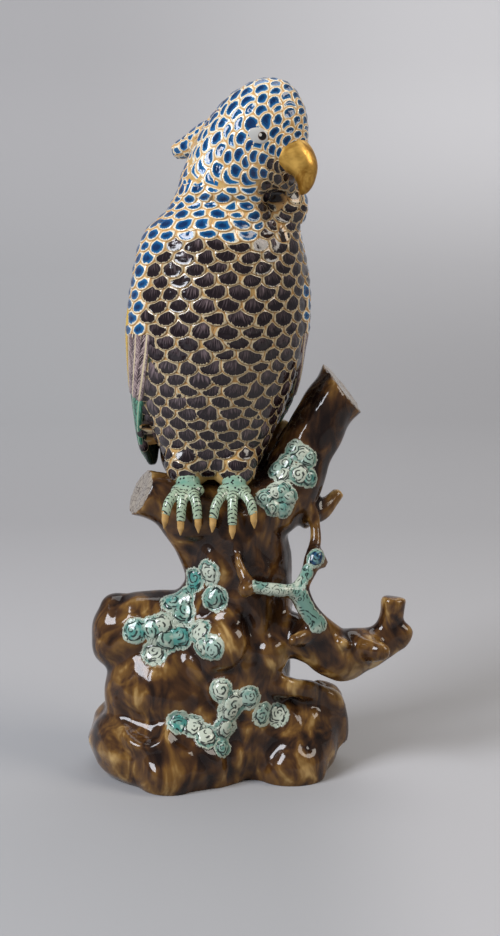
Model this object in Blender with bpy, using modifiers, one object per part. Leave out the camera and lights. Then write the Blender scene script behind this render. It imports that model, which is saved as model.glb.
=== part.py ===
"""A glazed porcelain parrot on a tree stump, cast and fired as one piece. Metres, +Z up, the bird facing -Y."""

import math

import bmesh
import bpy
from mathutils import Matrix, Quaternion, Vector

MM = 0.001

# Heights above the table, and the sizes of the bird.
PERCH_HEIGHT = 128 * MM
TORSO_HEIGHT = 120 * MM
TORSO_WIDTH = 75 * MM
TORSO_DEPTH = 70 * MM
SKULL_REACH = 53 * MM
SKULL_WIDTH = 42 * MM
THROAT_GROOVE = 6 * MM
THROAT_BEND = 3.5 * MM
BODY_YAW = math.radians(15)
HEAD_YAW = math.radians(55)

# Moulded feathers: rows of rounded scales, each row's lip standing a little proud of the next.
SCALE_WIDTH = 16 * MM
SCALE_ROW = 7 * MM
SCALE_DROP = 4 * MM
SCALE_LIP = 0.9 * MM
SCALE_TUCK = 0.4 * MM
POINTS_PER_SCALE = 4

BEAK_RADIUS = 8 * MM
BEAK_REACH = 14.5 * MM
BEAK_DROP = 16 * MM
CREST_LENGTH = 33 * MM
CREST_RADIUS = 8 * MM
EYE_RADIUS = 3.4 * MM

WING_LENGTH = 107 * MM
WING_THICKNESS = 6 * MM
QUILL_GROOVE = 0.6 * MM
WING_BURY = 2.2
TIER_STEP = 0.17
TAIL_LENGTH = 96 * MM
TAIL_WIDTH = 30 * MM
TAIL_THICKNESS = 10 * MM

THIGH_RADIUS = 10 * MM
SHANK_RADIUS = 5 * MM
TOE_RADIUS = 2.2 * MM
TOE_LENGTH = 12 * MM
CLAW_LENGTH = 5.8 * MM

# The stump: the perch and what grows from it, the trunk, and the roots that it stands on.
PERCH_RADIUS = 14.5 * MM
STUB_RADIUS = 10.5 * MM
LIMB_RADIUS = 11.5 * MM
FINGER_RADIUS = 3.1 * MM
TWIG_RADIUS = 4 * MM
BRANCH_RADIUS = 11.5 * MM
TRUNK_RADIUS = 21 * MM
ROOT_RADIUS = 17 * MM
CLAY_GRAIN = 1.5 * MM
CLAY_SMOOTHING = 7
STUMP_FACES = 0.024


def clear_scene():
    for item in list(bpy.data.objects):
        bpy.data.objects.remove(item)


def collection(name):
    made = bpy.data.collections.new(name)
    bpy.context.scene.collection.children.link(made)
    return made


def glaze(name, colour, roughness, metallic=0.0):
    """A fired glaze or gilding, as one Principled BSDF."""
    made = bpy.data.materials.new(name)
    made.use_nodes = True
    shader = made.node_tree.nodes["Principled BSDF"]
    shader.inputs["Base Color"].default_value = (*colour, 1.0)
    shader.inputs["Roughness"].default_value = roughness
    shader.inputs["Metallic"].default_value = metallic
    made.diffuse_color = (*colour, 1.0)
    return made


def blended(stations, at):
    """The row of values at `at` on a smooth curve through the stations, whose first column is the position."""
    last = len(stations) - 2
    i = max(0, min(last, sum(row[0] <= at for row in stations) - 1))
    before, start, end, after = (stations[max(0, min(last + 1, i + k))] for k in (-1, 0, 1, 2))
    t = max(0.0, min(1.0, (at - start[0]) / (end[0] - start[0])))
    values = []
    for p0, p1, p2, p3 in zip(before[1:], start[1:], end[1:], after[1:]):
        bend = (2 * p0 - 5 * p1 + 4 * p2 - p3) * t * t + (3 * p1 - p0 - 3 * p2 + p3) * t**3
        values.append(0.5 * (2 * p1 + (p2 - p0) * t + bend))
    return values


def heading(yaw):
    """The level direction that is turned by yaw from -Y towards +X."""
    return Vector((math.sin(yaw), -math.cos(yaw), 0))


def loft(name, rings, into, material):
    """A closed solid through rings of as many points each, with a fan at each end."""
    shape = bmesh.new()
    rows = [[shape.verts.new(point) for point in ring] for ring in rings]
    for upper, lower in zip(rows, rows[1:]):
        for k in range(len(upper)):
            following = (k + 1) % len(upper)
            shape.faces.new((upper[k], lower[k], lower[following], upper[following]))
    for row in (rows[0], rows[-1]):
        middle = shape.verts.new(sum((v.co for v in row), Vector()) / len(row))
        for k in range(len(row)):
            shape.faces.new((row[k], row[(k + 1) % len(row)], middle))
    bmesh.ops.recalc_face_normals(shape, faces=shape.faces)
    return as_object(name, shape, into, material)


def as_object(name, shape, into, material):
    mesh = bpy.data.meshes.new(name)
    shape.to_mesh(mesh)
    shape.free()
    mesh.materials.append(material)
    mesh.shade_smooth()
    made = bpy.data.objects.new(name, mesh)
    into.objects.link(made)
    return made


def ball(name, centre, radii, into, material, turn=0.0):
    """An ellipsoid of clay, turned about the vertical."""
    shape = bmesh.new()
    bmesh.ops.create_uvsphere(shape, u_segments=12, v_segments=8, radius=1.0)
    place = Matrix.Translation(centre) @ Matrix.Rotation(turn, 4, "Z") @ Matrix.Diagonal((*radii, 1.0))
    bmesh.ops.transform(shape, matrix=place, verts=shape.verts)
    return as_object(name, shape, into, material)


def limb(name, stations, into, material, sides=2, resolution=4):
    """A round, tapering rod along a smooth line. Each station is its point and its radius."""
    line = bpy.data.curves.new(name, "CURVE")
    line.dimensions = "3D"
    line.bevel_depth = 1.0
    line.bevel_resolution = sides
    line.resolution_u = resolution
    line.use_fill_caps = True
    spline = line.splines.new("BEZIER")
    spline.bezier_points.add(len(stations) - 1)
    for knot, (point, radius) in zip(spline.bezier_points, stations):
        knot.co = point
        knot.radius = radius
        knot.handle_left_type = knot.handle_right_type = "AUTO"
    guide = bpy.data.objects.new(name, line)
    bpy.context.scene.collection.objects.link(guide)
    graph = bpy.context.evaluated_depsgraph_get()
    mesh = bpy.data.meshes.new_from_object(guide.evaluated_get(graph))
    bpy.data.objects.remove(guide)
    shape = bmesh.new()
    shape.from_mesh(mesh)
    bmesh.ops.remove_doubles(shape, verts=shape.verts, dist=0.01 * MM)
    bmesh.ops.recalc_face_normals(shape, faces=shape.faces)
    return as_object(name, shape, into, material)


# The bird's skin: a fan of sections about the throat makes the head, and level sections make the neck and torso.
THROAT = Vector((14.5 * MM, -17 * MM, PERCH_HEIGHT + TORSO_HEIGHT))
FACE_ANGLE = math.radians(-22)
NAPE_ANGLE = math.radians(90)
# Angle of the fan in degrees, reach from throat to skull, and width, as shares of SKULL_REACH and SKULL_WIDTH.
SKULL = (
    (-22, 0.44, 0.26),
    (-12, 0.70, 0.45),
    (0, 0.895, 0.73),
    (10, 0.95, 0.88),
    (25, 0.95, 0.95),
    (45, 0.925, 1.02),
    (65, 0.90, 1.14),
    (90, 0.92, 1.28),
)
# Share of the torso's height from the neck down, half-width and half-depth as shares of the torso's, and the
# centre's place in x and y in millimetres.
TORSO = (
    (0.00, 0.72, 0.73, -6.5, -4.0),
    (0.08, 0.885, 0.80, -11.6, -2.4),
    (0.16, 0.925, 0.87, -11.9, -1.0),
    (0.26, 0.955, 0.94, -12.2, 0.3),
    (0.36, 0.975, 0.985, -12.8, 1.4),
    (0.46, 0.98, 1.00, -13.6, 2.4),
    (0.57, 0.945, 0.975, -14.4, 3.4),
    (0.67, 0.87, 0.92, -15.2, 4.0),
    (0.77, 0.77, 0.83, -16.0, 4.3),
    (0.86, 0.655, 0.72, -16.2, 4.0),
    (0.94, 0.53, 0.59, -16.0, 3.2),
    (1.00, 0.36, 0.42, -15.6, 2.4),
)
NECK_TWIST = 0.3
UNDER_WING = (math.radians(72), math.radians(150))
HEAD_SPAN = (NAPE_ANGLE - FACE_ANGLE) * SKULL_REACH / 2


def head_section(angle):
    """Centre of the fan's section at this angle, its outward and sideways directions, and its half-sizes."""
    reach, width = blended(SKULL, math.degrees(angle))
    outward = Vector((0, 0, math.cos(angle))) - heading(HEAD_YAW) * math.sin(angle)
    half_reach = (reach * SKULL_REACH - THROAT_BEND) / 2
    return THROAT + outward * (THROAT_BEND + half_reach), outward, heading(HEAD_YAW + math.pi / 2), half_reach, width * SKULL_WIDTH / 2


def torso_section(down):
    """Centre and half-sizes of the level section at this share of the torso's height. The neck starts as the skull
    ends."""
    width, depth, x, y = blended(TORSO, down)
    centre = Vector((x * MM, y * MM, PERCH_HEIGHT + TORSO_HEIGHT * (1 - down)))
    nape, _, _, half_reach, half_width = head_section(NAPE_ANGLE)
    nape.z = centre.z
    skull = max(0.0, 1 - down / 0.16) ** 2
    half_width += (width * TORSO_WIDTH / 2 - half_width) * (1 - skull)
    half_reach += (depth * TORSO_DEPTH / 2 - half_reach) * (1 - skull)
    return centre.lerp(nape, skull), half_width, half_reach


def skin_point(along, turn):
    """A point of the smooth skin: `along` metres from the face down the back, `turn` round from the throat side."""
    if along < HEAD_SPAN:
        angle = FACE_ANGLE + (NAPE_ANGLE - FACE_ANGLE) * along / HEAD_SPAN
        centre, outward, sideways, half_reach, half_width = head_section(angle)
        hollow = throat_hollow(turn) * max(0.0, angle / NAPE_ANGLE)
        return centre + sideways * half_width * math.sin(turn) - outward * (half_reach * math.cos(turn) - hollow)
    down = min(1.0, (along - HEAD_SPAN) / TORSO_HEIGHT)
    centre, half_width, half_depth = torso_section(down)
    off_axis = turn + body_twist(down)
    round_off = math.hypot(half_depth * math.sin(off_axis), half_width * math.cos(off_axis))
    radius = half_width * half_depth / round_off - throat_hollow(turn) * max(0.0, 1 - down / 0.16)
    return centre + heading(BODY_YAW + off_axis) * radius


def throat_hollow(turn):
    """The groove between the two cheeks, below the beak."""
    aside = math.remainder(turn, 2 * math.pi) / math.radians(20)
    return THROAT_GROOVE * math.exp(-aside * aside)


def skin_normal(along, turn):
    step = 0.5 * MM
    here = skin_point(along, turn)
    downwards = skin_point(along + step, turn) - here
    around = skin_point(along, turn + 0.02) - here
    if downwards.length < 1e-7:
        return Vector((0, 0, -1))
    return around.cross(downwards).normalized()


def feathered_body(into, material):
    """Head, neck and torso in one skin, with a scalloped lip at the foot of each row of feathers."""
    girth = math.pi * (TORSO_WIDTH + TORSO_DEPTH) / 2
    scales = round(girth / SCALE_WIDTH)
    count = scales * POINTS_PER_SCALE
    length = HEAD_SPAN + TORSO_HEIGHT
    rings = [[skin_point(0, turn_at(k, count)) for k in range(count)]]
    rows = int(length / SCALE_ROW)
    for row in range(1, rows):
        lip, tuck = [], []
        for k in range(count):
            turn = turn_at(k, count)
            middle = 0.5 + 0.5 * math.cos(2 * math.pi * (k / POINTS_PER_SCALE + row / 2))
            along = row * SCALE_ROW + SCALE_DROP * middle
            normal = skin_normal(along, turn)
            lip.append(skin_point(along, turn) + normal * lip_height(along, turn) * (0.3 + 0.7 * middle))
            tuck.append(skin_point(along + SCALE_TUCK, turn))
        rings += [lip, tuck]
    rings.append([skin_point(length, turn_at(k, count)) for k in range(count)])
    return loft("feathered_body", rings, into, material)


def lip_height(along, turn):
    """The lips fade out on the tight bend of the throat, and under the wings."""
    down = (along - HEAD_SPAN) / TORSO_HEIGHT
    aside = math.remainder(turn, 2 * math.pi) / math.radians(50)
    from_breast = abs(math.remainder(turn + body_twist(down), 2 * math.pi))
    if down > 0.3 and UNDER_WING[0] < from_breast < UNDER_WING[1]:
        return 0.0
    return SCALE_LIP * (1 - math.exp(-aside * aside) * (down * TORSO_HEIGHT < 2 * SCALE_ROW))


def body_twist(down):
    """How far the skin's rows are still turned with the head, rather than with the breast."""
    return (HEAD_YAW - BODY_YAW) * (1 - max(0.0, min(1.0, down / NECK_TWIST)))


def turn_at(k, count):
    return 2 * math.pi * k / count


def beak_and_face(into, gold, feathers):
    """The hooked upper bill, the small lower bill under it, the crest laid back over the nape, and the eyes."""
    ahead = heading(HEAD_YAW)
    root = THROAT + ahead * (-4.5 * MM) + Vector((0, 0, 18 * MM))
    hook = (
        (-0.20, 0.08, 1.32),
        (0.15, 0.05, 1.30),
        (0.55, 0.07, 1.12),
        (0.88, 0.25, 0.78),
        (1.00, 0.60, 0.50),
        (0.93, 0.88, 0.28),
        (0.84, 1.00, 0.08),
    )
    upper = [(root + ahead * BEAK_REACH * f - Vector((0, 0, BEAK_DROP * d)), BEAK_RADIUS * r) for f, d, r in hook]
    limb("upper_bill", upper, into, gold, resolution=3)
    lower_at = root + ahead * 3.5 * MM - Vector((0, 0, 8.5 * MM))
    ball("lower_bill", lower_at, (5.2 * MM, 5.2 * MM, 4.4 * MM), into, gold)
    ball("far_cheek", up(13.5, -4, 118.5), (11 * MM, 12 * MM, 11 * MM), into, feathers)
    nape = ((0.00, 30, 1.15), (0.42, 27.5, 0.95), (0.74, 24.5, 0.66), (1.00, 22.5, 0.42))
    start = SKULL_REACH * 0.46
    crest = [
        (THROAT - ahead * (start + CREST_LENGTH * back) + Vector((0, 0, height * MM)), CREST_RADIUS * radius)
        for back, height, radius in nape
    ]
    limb("crest", crest, into, feathers)
    for side in (-1, 1):
        sight = skin_point(HEAD_SPAN * 0.22, side * math.radians(86))
        ball(f"eye_{side}", sight, (EYE_RADIUS, EYE_RADIUS, EYE_RADIUS * 0.8), into, feathers, HEAD_YAW)


# Share of the wing's length from the shoulder, thickness as a share, the angles that it spans to each side of its
# middle and that its middle lies round from the breast, and how far it draws in, in millimetres.
WING = (
    (0.00, 0.20, 12, 96, 2.0),
    (0.08, 0.55, 24, 98, 1.0),
    (0.22, 0.88, 33, 100, 0.2),
    (0.45, 1.00, 36, 101, 0.0),
    (0.62, 0.94, 33, 107, 0.8),
    (0.78, 0.80, 25, 115, 1.8),
    (0.92, 0.64, 14, 123, 2.4),
    (1.00, 0.40, 5, 127, 3.0),
)
WING_TIERS = (0.50, 0.76)
WING_STATIONS = (0, 0.05, 0.12, 0.22, 0.35, 0.50, 0.504, 0.63, 0.76, 0.764, 0.88, 0.95, 1.0)
WING_FALL = 0.52
RIGHT_SWING = 30
QUILLS = 5


def wing(side, into, material):
    """One folded wing, lying on the torso: small feathers, then two tiers of quills, each tier under the last."""
    count = 4 * QUILLS
    shoulder = TORSO_HEIGHT * 0.07
    rings = []
    for share in WING_STATIONS:
        thickness, span, middle, draw = blended(WING, share)
        middle += RIGHT_SWING * max(0, side) * max(0, share - 0.35)
        down = (shoulder + share * WING_LENGTH) / TORSO_HEIGHT
        centre, half_width, half_depth = torso_section(min(down, WING_FALL))
        centre.z = PERCH_HEIGHT + TORSO_HEIGHT * (1 - down)
        tier = sum(share > end for end in WING_TIERS)
        ring = []
        for k in range(count):
            turn = turn_at(k, count)
            aside = side * math.radians(middle + span * math.sin(turn))
            radius = half_width * half_depth / math.hypot(half_depth * math.sin(aside), half_width * math.cos(aside))
            outwards = WING_THICKNESS / 2 * thickness * (1 - TIER_STEP * tier) * math.cos(turn)
            outwards *= WING_BURY if outwards < 0 else 1
            outwards -= draw * MM + QUILL_GROOVE * (k % 2) * min(1, tier) * (thickness > 0.5)
            ring.append(centre + heading(BODY_YAW + aside) * (radius + outwards))
        rings.append(ring)
    return loft(f"wing_{side}", rings, into, material)


# Share of the tail's length, width and thickness as shares, and how far it lies behind the perch, in millimetres.
TAIL = (
    (0.00, 0.70, 1.00, 15.0),
    (0.20, 0.95, 1.10, 22.0),
    (0.40, 1.00, 1.00, 25.0),
    (0.70, 0.86, 0.85, 25.0),
    (0.92, 0.60, 0.60, 23.5),
    (1.00, 0.30, 0.30, 22.5),
)
TAIL_TOP = 32 * MM


def tail(into, material):
    """The long tail, closed to a narrow fan, hanging down behind the trunk and resting against it."""
    backwards = -heading(BODY_YAW)
    sideways = heading(BODY_YAW + math.pi / 2)
    rings = []
    for share in (0, 0.15, 0.3, 0.45, 0.6, 0.75, 0.86, 0.94, 1.0):
        width, thickness, back = blended(TAIL, share)
        centre = up(-13 + 8 * share, -2, 0) + Vector((0, 0, TAIL_TOP - TAIL_LENGTH * share)) + backwards * back * MM
        ring = []
        for k in range(12):
            turn = turn_at(k, 12)
            ridge = 1.0 if k % 2 else 0.9
            across = sideways * width * TAIL_WIDTH / 2 * math.cos(turn)
            ring.append(centre + across + backwards * thickness * TAIL_THICKNESS / 2 * math.sin(turn) * ridge)
        rings.append(ring)
    return loft("tail", rings, into, material)


# Where each foot grips the perch, in millimetres from the perch's anchor, how far to the side each of its three
# toes points, and how far down the toe goes, as a share of the toe length.
FEET = (
    ("left", (-26.5, -17.5), ((-9.0, 0.76), (-2.6, 1.0), (4.6, 0.92))),
    ("right", (-6.8, -18.6), ((-8.6, 0.88), (-0.6, 1.12), (8.2, 0.74))),
)


def feet(into, feathers, skin, gold):
    """Two thighs, two shanks, and three toes a foot that curl over the front of the perch and end in claws."""
    for name, (x, y), spreads in FEET:
        ankle = Vector((x * MM, y * MM, PERCH_HEIGHT - 1.5 * MM))
        thigh = ankle + Vector((0, 8 * MM, 11 * MM))
        ball(f"thigh_{name}", thigh, (THIGH_RADIUS, THIGH_RADIUS, THIGH_RADIUS * 1.25), into, feathers)
        limb(f"shank_{name}", [(thigh, SHANK_RADIUS), (ankle, SHANK_RADIUS * 1.1)], into, skin)
        pad = (SHANK_RADIUS * 1.45, SHANK_RADIUS * 0.95, SHANK_RADIUS * 0.75)
        ball(f"pad_{name}", ankle + Vector((0, -2 * MM, 0)), pad, into, skin)
        for number, (spread, drop) in enumerate(spreads):
            toe(f"toe_{name}_{number}", ankle, spread * MM, TOE_LENGTH * drop, into, skin, gold)


def toe(name, ankle, spread, drop, into, skin, gold):
    knuckles = (
        (0.10, 1.0, 0.00, 1.00),
        (0.50, 6.0, 0.08, 1.05),
        (0.85, 9.6, 0.45, 1.00),
        (1.00, 10.8, 1.00, 0.90),
    )
    bones = [
        (ankle + Vector((spread * f, -ahead * MM, -drop * d)), TOE_RADIUS * r) for f, ahead, d, r in knuckles
    ]
    limb(name, bones, into, skin, resolution=2)
    tip = bones[-1][0]
    point = tip + Vector((spread * 0.06, -0.3 * MM, -CLAW_LENGTH))
    claw = [(tip + Vector((0, 0, 1.7 * MM)), TOE_RADIUS * 0.74), (tip.lerp(point, 0.45), TOE_RADIUS * 0.66)]
    limb(name.replace("toe", "claw"), claw + [(point, TOE_RADIUS * 0.12)], into, gold, resolution=2)


# The roots' heights are given in as many parts of the perch's height.
PERCH_PARTS = 128


def up(x, y, z):
    """A point by the perch: millimetres, with z counted from the perch's own height."""
    return Vector((x * MM, y * MM, PERCH_HEIGHT + z * MM))


def low(x, y, z):
    """A point by the roots: millimetres sideways, with z in parts of the perch's height."""
    return Vector((x * MM, y * MM, z * PERCH_HEIGHT / PERCH_PARTS))


def upper_stump(into, brown):
    """The perch with its sawn stub, the broken limb that rises on the right, and what stands behind the bird."""
    perch = [
        (up(-62, -10, -1.5), STUB_RADIUS),
        (up(-50, -9, -3.5), STUB_RADIUS),
        (up(-38, -8, -7), STUB_RADIUS * 1.12),
        (up(-22, -8, -14), PERCH_RADIUS),
        (up(-2, -6, -15), PERCH_RADIUS * 1.1),
        (up(14, -2, -6), PERCH_RADIUS),
        (up(24, 3, 13.5), LIMB_RADIUS * 1.12),
        (up(32.6, 7, 28), LIMB_RADIUS * 1.07),
        (up(41.4, 11, 40.6), LIMB_RADIUS * 1.14),
        (up(53, 15, 55.5), LIMB_RADIUS * 1.2),
    ]
    limb("perch", perch, into, brown, sides=4)
    limb("rear_knot", [(up(-14, 14, -8), 12 * MM), (up(-31, 17, 8), 10 * MM), (up(-37, 18, 20), 5 * MM)], into, brown)
    limb("rear_stub", [(up(2, 14, -6), 10 * MM), (up(11, 24, 12), 7 * MM), (up(16, 29, 22), 5 * MM)], into, brown)
    ball("saddle", up(-14, 10, -8), (25 * MM, 17 * MM, 15 * MM), into, brown)
    finger = [(up(22, -1, -17), 6 * MM), (up(30.5, 0, -14), 4.4 * MM), (up(38, 3.5, -7.6), FINGER_RADIUS)]
    limb("finger", finger, into, brown)
    ball("finger_tip", up(38.3, 3.7, -7.2), (FINGER_RADIUS,) * 3, into, brown)


def trunk(into, brown):
    """The waisted trunk between the roots and the perch, with its burls."""
    core = [
        (up(-4, -3, -10), TRUNK_RADIUS * 1.0),
        (up(-6, -3, -24), TRUNK_RADIUS * 1.08),
        (up(-4, -2, -42), TRUNK_RADIUS * 1.12),
        (low(-8, -3, 66), TRUNK_RADIUS * 1.28),
        (low(-12, -3, 40), TRUNK_RADIUS * 1.45),
        (low(-12, -2, 12), TRUNK_RADIUS * 1.5),
    ]
    limb("core", core, into, brown, sides=4)
    limb("left_sweep", [(up(-36, -8, -12), 8 * MM), (up(-25, -8, -28), 8 * MM), (up(-21, -8, -44), 8 * MM), (low(-30, -10, 68), 10 * MM)], into, brown)
    ball("burl", low(-10, -24, 58.5), (13.5 * MM, 11.5 * MM, 14.5 * MM), into, brown)
    ball("small_burl", low(8, -22, 55), (9 * MM, 8 * MM, 9 * MM), into, brown)


def branch_and_twigs(into, brown):
    """The low branch on the right with its knobs, and the forked twig that climbs back to the limb."""
    branch = [
        (low(2, -10, 62), BRANCH_RADIUS),
        (low(18, -15, 62), BRANCH_RADIUS * 0.90),
        (low(29, -16, 58.6), BRANCH_RADIUS * 0.86),
        (low(39, -15.5, 53.6), BRANCH_RADIUS * 1.04),
        (low(48, -15, 55.4), BRANCH_RADIUS * 0.86),
        (low(56, -14, 58.6), BRANCH_RADIUS * 0.70),
        (low(64, -14, 62), BRANCH_RADIUS * 0.58),
    ]
    limb("branch", branch, into, brown, sides=4)
    ball("branch_end", low(65, -14, 61.5), (6.6 * MM, 6.2 * MM, 6.4 * MM), into, brown)
    limb("cut_twig", [(low(56, -14, 58), 6.5 * MM), (low(60.5, -14, 68), 5.6 * MM), (low(62.3, -14, 79), 5.7 * MM)], into, brown)
    limb("knob_a", [(low(46, -18, 58), 6 * MM), (low(55.5, -28, 58.5), 5 * MM)], into, brown)
    ball("knob_a_tip", low(56, -28.5, 58.6), (4.8 * MM,) * 3, into, brown)
    ball("knob_b", low(40, -26.5, 61.5), (3.2 * MM,) * 3, into, brown)
    limb("knob_c", [(low(25, -24, 65), 4.4 * MM), (low(18.5, -31, 64), 3.4 * MM)], into, brown)
    ball("knob_c_tip", low(18.2, -31.4, 64), (3.4 * MM,) * 3, into, brown)
    fork = low(20.5, -26, 84.5)
    stem = [(low(35.5, -19, 61), 7 * MM), (low(27, -24, 71.5), 5 * MM), (fork, TWIG_RADIUS * 1.15)]
    limb("fork_stem", stem, into, brown)
    left_arm = [(fork, TWIG_RADIUS), (low(11, -31, 86), TWIG_RADIUS * 0.84), (low(0, -33, 87.5), TWIG_RADIUS * 0.88)]
    limb("fork_left", left_arm, into, brown)
    ball("fork_left_knob", low(-1.5, -34.5, 86.5), (3.9 * MM,) * 3, into, brown)
    left_tip = [(low(0, -32, 88), 3.4 * MM), (low(-4.2, -29, 95), 2.7 * MM), (low(-5.6, -27.5, 101), 1.9 * MM)]
    limb("fork_left_tip", left_tip, into, brown)
    climbing = [
        (fork, TWIG_RADIUS),
        (low(25.3, -20, 92.5), TWIG_RADIUS * 0.88),
        (up(27.8, -13, -26.5), TWIG_RADIUS * 0.76),
        (up(27.8, -9, -18), TWIG_RADIUS * 0.74),
        (up(25.6, -8, -11.5), TWIG_RADIUS * 0.78),
        (up(19.8, -12, -7.5), TWIG_RADIUS * 0.64),
    ]
    limb("climbing_twig", climbing, into, brown)
    ball("lichen_knob", low(28.6, -18, 97.8), (4.2 * MM, 3.8 * MM, 4.0 * MM), into, brown)
    limb("side_knob", [(low(28, -17, 95), 3.4 * MM), (low(33.5, -14, 94.5), 2.9 * MM)], into, brown)


def roots(into, brown):
    """The big left root with its blunt end, the folded lobes that it stands on, and the arch over the hollow."""
    blunt = [
        (low(0, -4, 58), ROOT_RADIUS),
        (low(-26, -6, 61), ROOT_RADIUS * 1.08),
        (low(-48, -5, 61.8), ROOT_RADIUS * 1.02),
        (low(-58, -4, 60.5), ROOT_RADIUS * 0.94),
    ]
    limb("blunt_root", blunt, into, brown, sides=4)
    ball("blunt_end", low(-57.5, -4, 60), (13.5 * MM, 15 * MM, 16.5 * MM), into, brown)
    ball("blunt_shoulder", low(-58.5, -4, 70.5), (8.5 * MM, 9 * MM, 8.5 * MM), into, brown)
    ball("left_mass", low(-36, -6, 34), (29 * MM, 26 * MM, 30 * MM), into, brown)
    left_foot = [
        (low(-50, 14, 12), 18 * MM),
        (low(-54, -6, 13), 18 * MM),
        (low(-40, -22, 12), 19 * MM),
        (low(-20, -22, 10), 18 * MM),
        (low(-4, -8, 12), 16 * MM),
    ]
    limb("left_foot", left_foot, into, brown, sides=4)
    ball("front_toe", low(-35, -29, 6), (15 * MM, 17 * MM, 13 * MM), into, brown, 0.2)
    ball("middle", low(-24, 2, 6), (38 * MM, 26 * MM, 22 * MM), into, brown)
    ball("front_middle", low(4, -12, 12), (18 * MM, 17 * MM, 20 * MM), into, brown)
    ball("right_lobe", low(18, -6, 14), (22.5 * MM, 22 * MM, 23 * MM), into, brown)
    ball("right_front", low(18, -20, 5), (16 * MM, 14 * MM, 14 * MM), into, brown)
    ball("rear_lobe", low(-12, 16, 16), (42 * MM, 20 * MM, 26 * MM), into, brown)
    arch = [
        (low(-8, -19, 46), 9 * MM),
        (low(8, -21.5, 43), 5.2 * MM),
        (low(19, -20.5, 39.6), 4.6 * MM),
        (low(30, -13.5, 35.6), 5 * MM),
        (low(36, -8, 27), 7 * MM),
        (low(35.8, -4, 10), 8 * MM),
    ]
    limb("arch", arch, into, brown, sides=4)
    crease = [(low(28, -3, 33.5), 6 * MM), (low(35, 2, 30), 6 * MM), (low(36, 6, 14), 7 * MM)]
    limb("right_crease", crease, into, brown)


def join_clay(name, pieces, into):
    """Several overlapping lumps of clay in one mesh, not yet smoothed together."""
    shape = bmesh.new()
    for piece in pieces:
        shape.from_mesh(piece.data)
    material = pieces[0].data.materials[0]
    for piece in pieces:
        bpy.data.objects.remove(piece)
    return as_object(name, shape, into, material)


def boolean(target, operation, other):
    cut = target.modifiers.new(f"{operation.lower()} {other.name}", "BOOLEAN")
    cut.operation = operation
    cut.solver = "EXACT"
    if isinstance(other, bpy.types.Collection):
        cut.operand_type = "COLLECTION"
        cut.collection = other
    else:
        cut.object = other
    cut.material_mode = "TRANSFER"
    return cut


def helper(item):
    item.hide_render = True
    item.display_type = "WIRE"


def hollow_under_arch(into, brown):
    """The clay that the modeller scooped out from under the arch."""
    line = [(low(3, -31, 37.5), 2.6 * MM), (low(13, -30, 35.8), 4.4 * MM), (low(24, -26, 33), 4.6 * MM)]
    scoop = limb("scoop", line, into, brown)
    helper(scoop)
    return scoop


def beyond(name, point, normal, size, into, material):
    """A block that removes everything beyond a plane: its near face lies at the point, square to the normal."""
    shape = bmesh.new()
    bmesh.ops.create_cube(shape, size=size)
    turn = Vector(normal).to_track_quat("Z", "Y").to_matrix().to_4x4()
    place = Matrix.Translation(point) @ turn @ Matrix.Translation((0, 0, size / 2))
    bmesh.ops.transform(shape, matrix=place, verts=shape.verts)
    block = as_object(name, shape, into, material)
    helper(block)
    return block


def centre_on_table(finished, everything):
    """Carry all the pieces together, so that the finished figure's box is centred over the origin."""
    graph = bpy.context.evaluated_depsgraph_get()
    corners = [Vector(corner) for corner in finished.evaluated_get(graph).bound_box]
    middle = (Vector(map(min, *corners)) + Vector(map(max, *corners))) / 2
    anchor = bpy.data.objects.new("figure_origin", None)
    bpy.context.scene.collection.objects.link(anchor)
    anchor.location = (-middle.x, -middle.y, 0)
    for item in everything:
        item.parent = anchor


def build():
    clear_scene()
    figurine = collection("parrot_figurine")
    bird = collection("bird_parts")
    cutters = collection("cutters")
    brown = glaze("brown_glaze", (0.10, 0.045, 0.012), 0.12)
    aubergine = glaze("aubergine_enamel", (0.045, 0.030, 0.045), 0.15)
    blue = glaze("turquoise_blue_enamel", (0.01, 0.10, 0.27), 0.15)
    green = glaze("green_enamel", (0.14, 0.42, 0.33), 0.15)
    gold = glaze("gilding", (0.72, 0.42, 0.09), 0.3, 1.0)

    clay = collection("clay")
    for grow in (upper_stump, trunk, branch_and_twigs, roots):
        grow(clay, brown)
    stump = join_clay("parrot_figurine", list(clay.objects), figurine)
    bpy.data.collections.remove(clay)

    merge = stump.modifiers.new("luting", "REMESH")
    merge.mode = "VOXEL"
    merge.voxel_size = CLAY_GRAIN
    merge.use_smooth_shade = True
    soften = stump.modifiers.new("sponging", "SMOOTH")
    soften.factor = 0.5
    soften.iterations = round(CLAY_SMOOTHING)
    thin = stump.modifiers.new("fewer faces", "DECIMATE")
    thin.ratio = STUMP_FACES
    boolean(stump, "DIFFERENCE", hollow_under_arch(cutters, brown))
    boolean(stump, "DIFFERENCE", beyond("under_the_foot", Vector(), (0, 0, -1), 400 * MM, cutters, brown))
    boolean(stump, "DIFFERENCE", beyond("limb_break", up(41, 10, 40), (0.78, -0.05, 0.62), 60 * MM, cutters, brown))
    boolean(stump, "DIFFERENCE", beyond("perch_saw", up(-48.6, -6, -3.5), (-0.85, -0.35, 0.39), 60 * MM, cutters, brown))

    feathered_body(bird, aubergine)
    beak_and_face(bird, gold, blue)
    for side in (-1, 1):
        wing(side, bird, blue)
    tail(bird, green)
    feet(bird, aubergine, green, gold)
    for item in bird.objects:
        helper(item)
    boolean(stump, "UNION", bird)
    centre_on_table(stump, [stump, *bird.objects, *cutters.objects])


build()
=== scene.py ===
"""A glazed porcelain parrot on a tree stump, with overglaze enamels, gilding and a mottled brown glaze."""

import math
import random
from functools import partial

import bmesh
import bpy
import numpy as np
from mathutils import Matrix, Vector, noise
from mathutils.bvhtree import BVHTree


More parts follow.
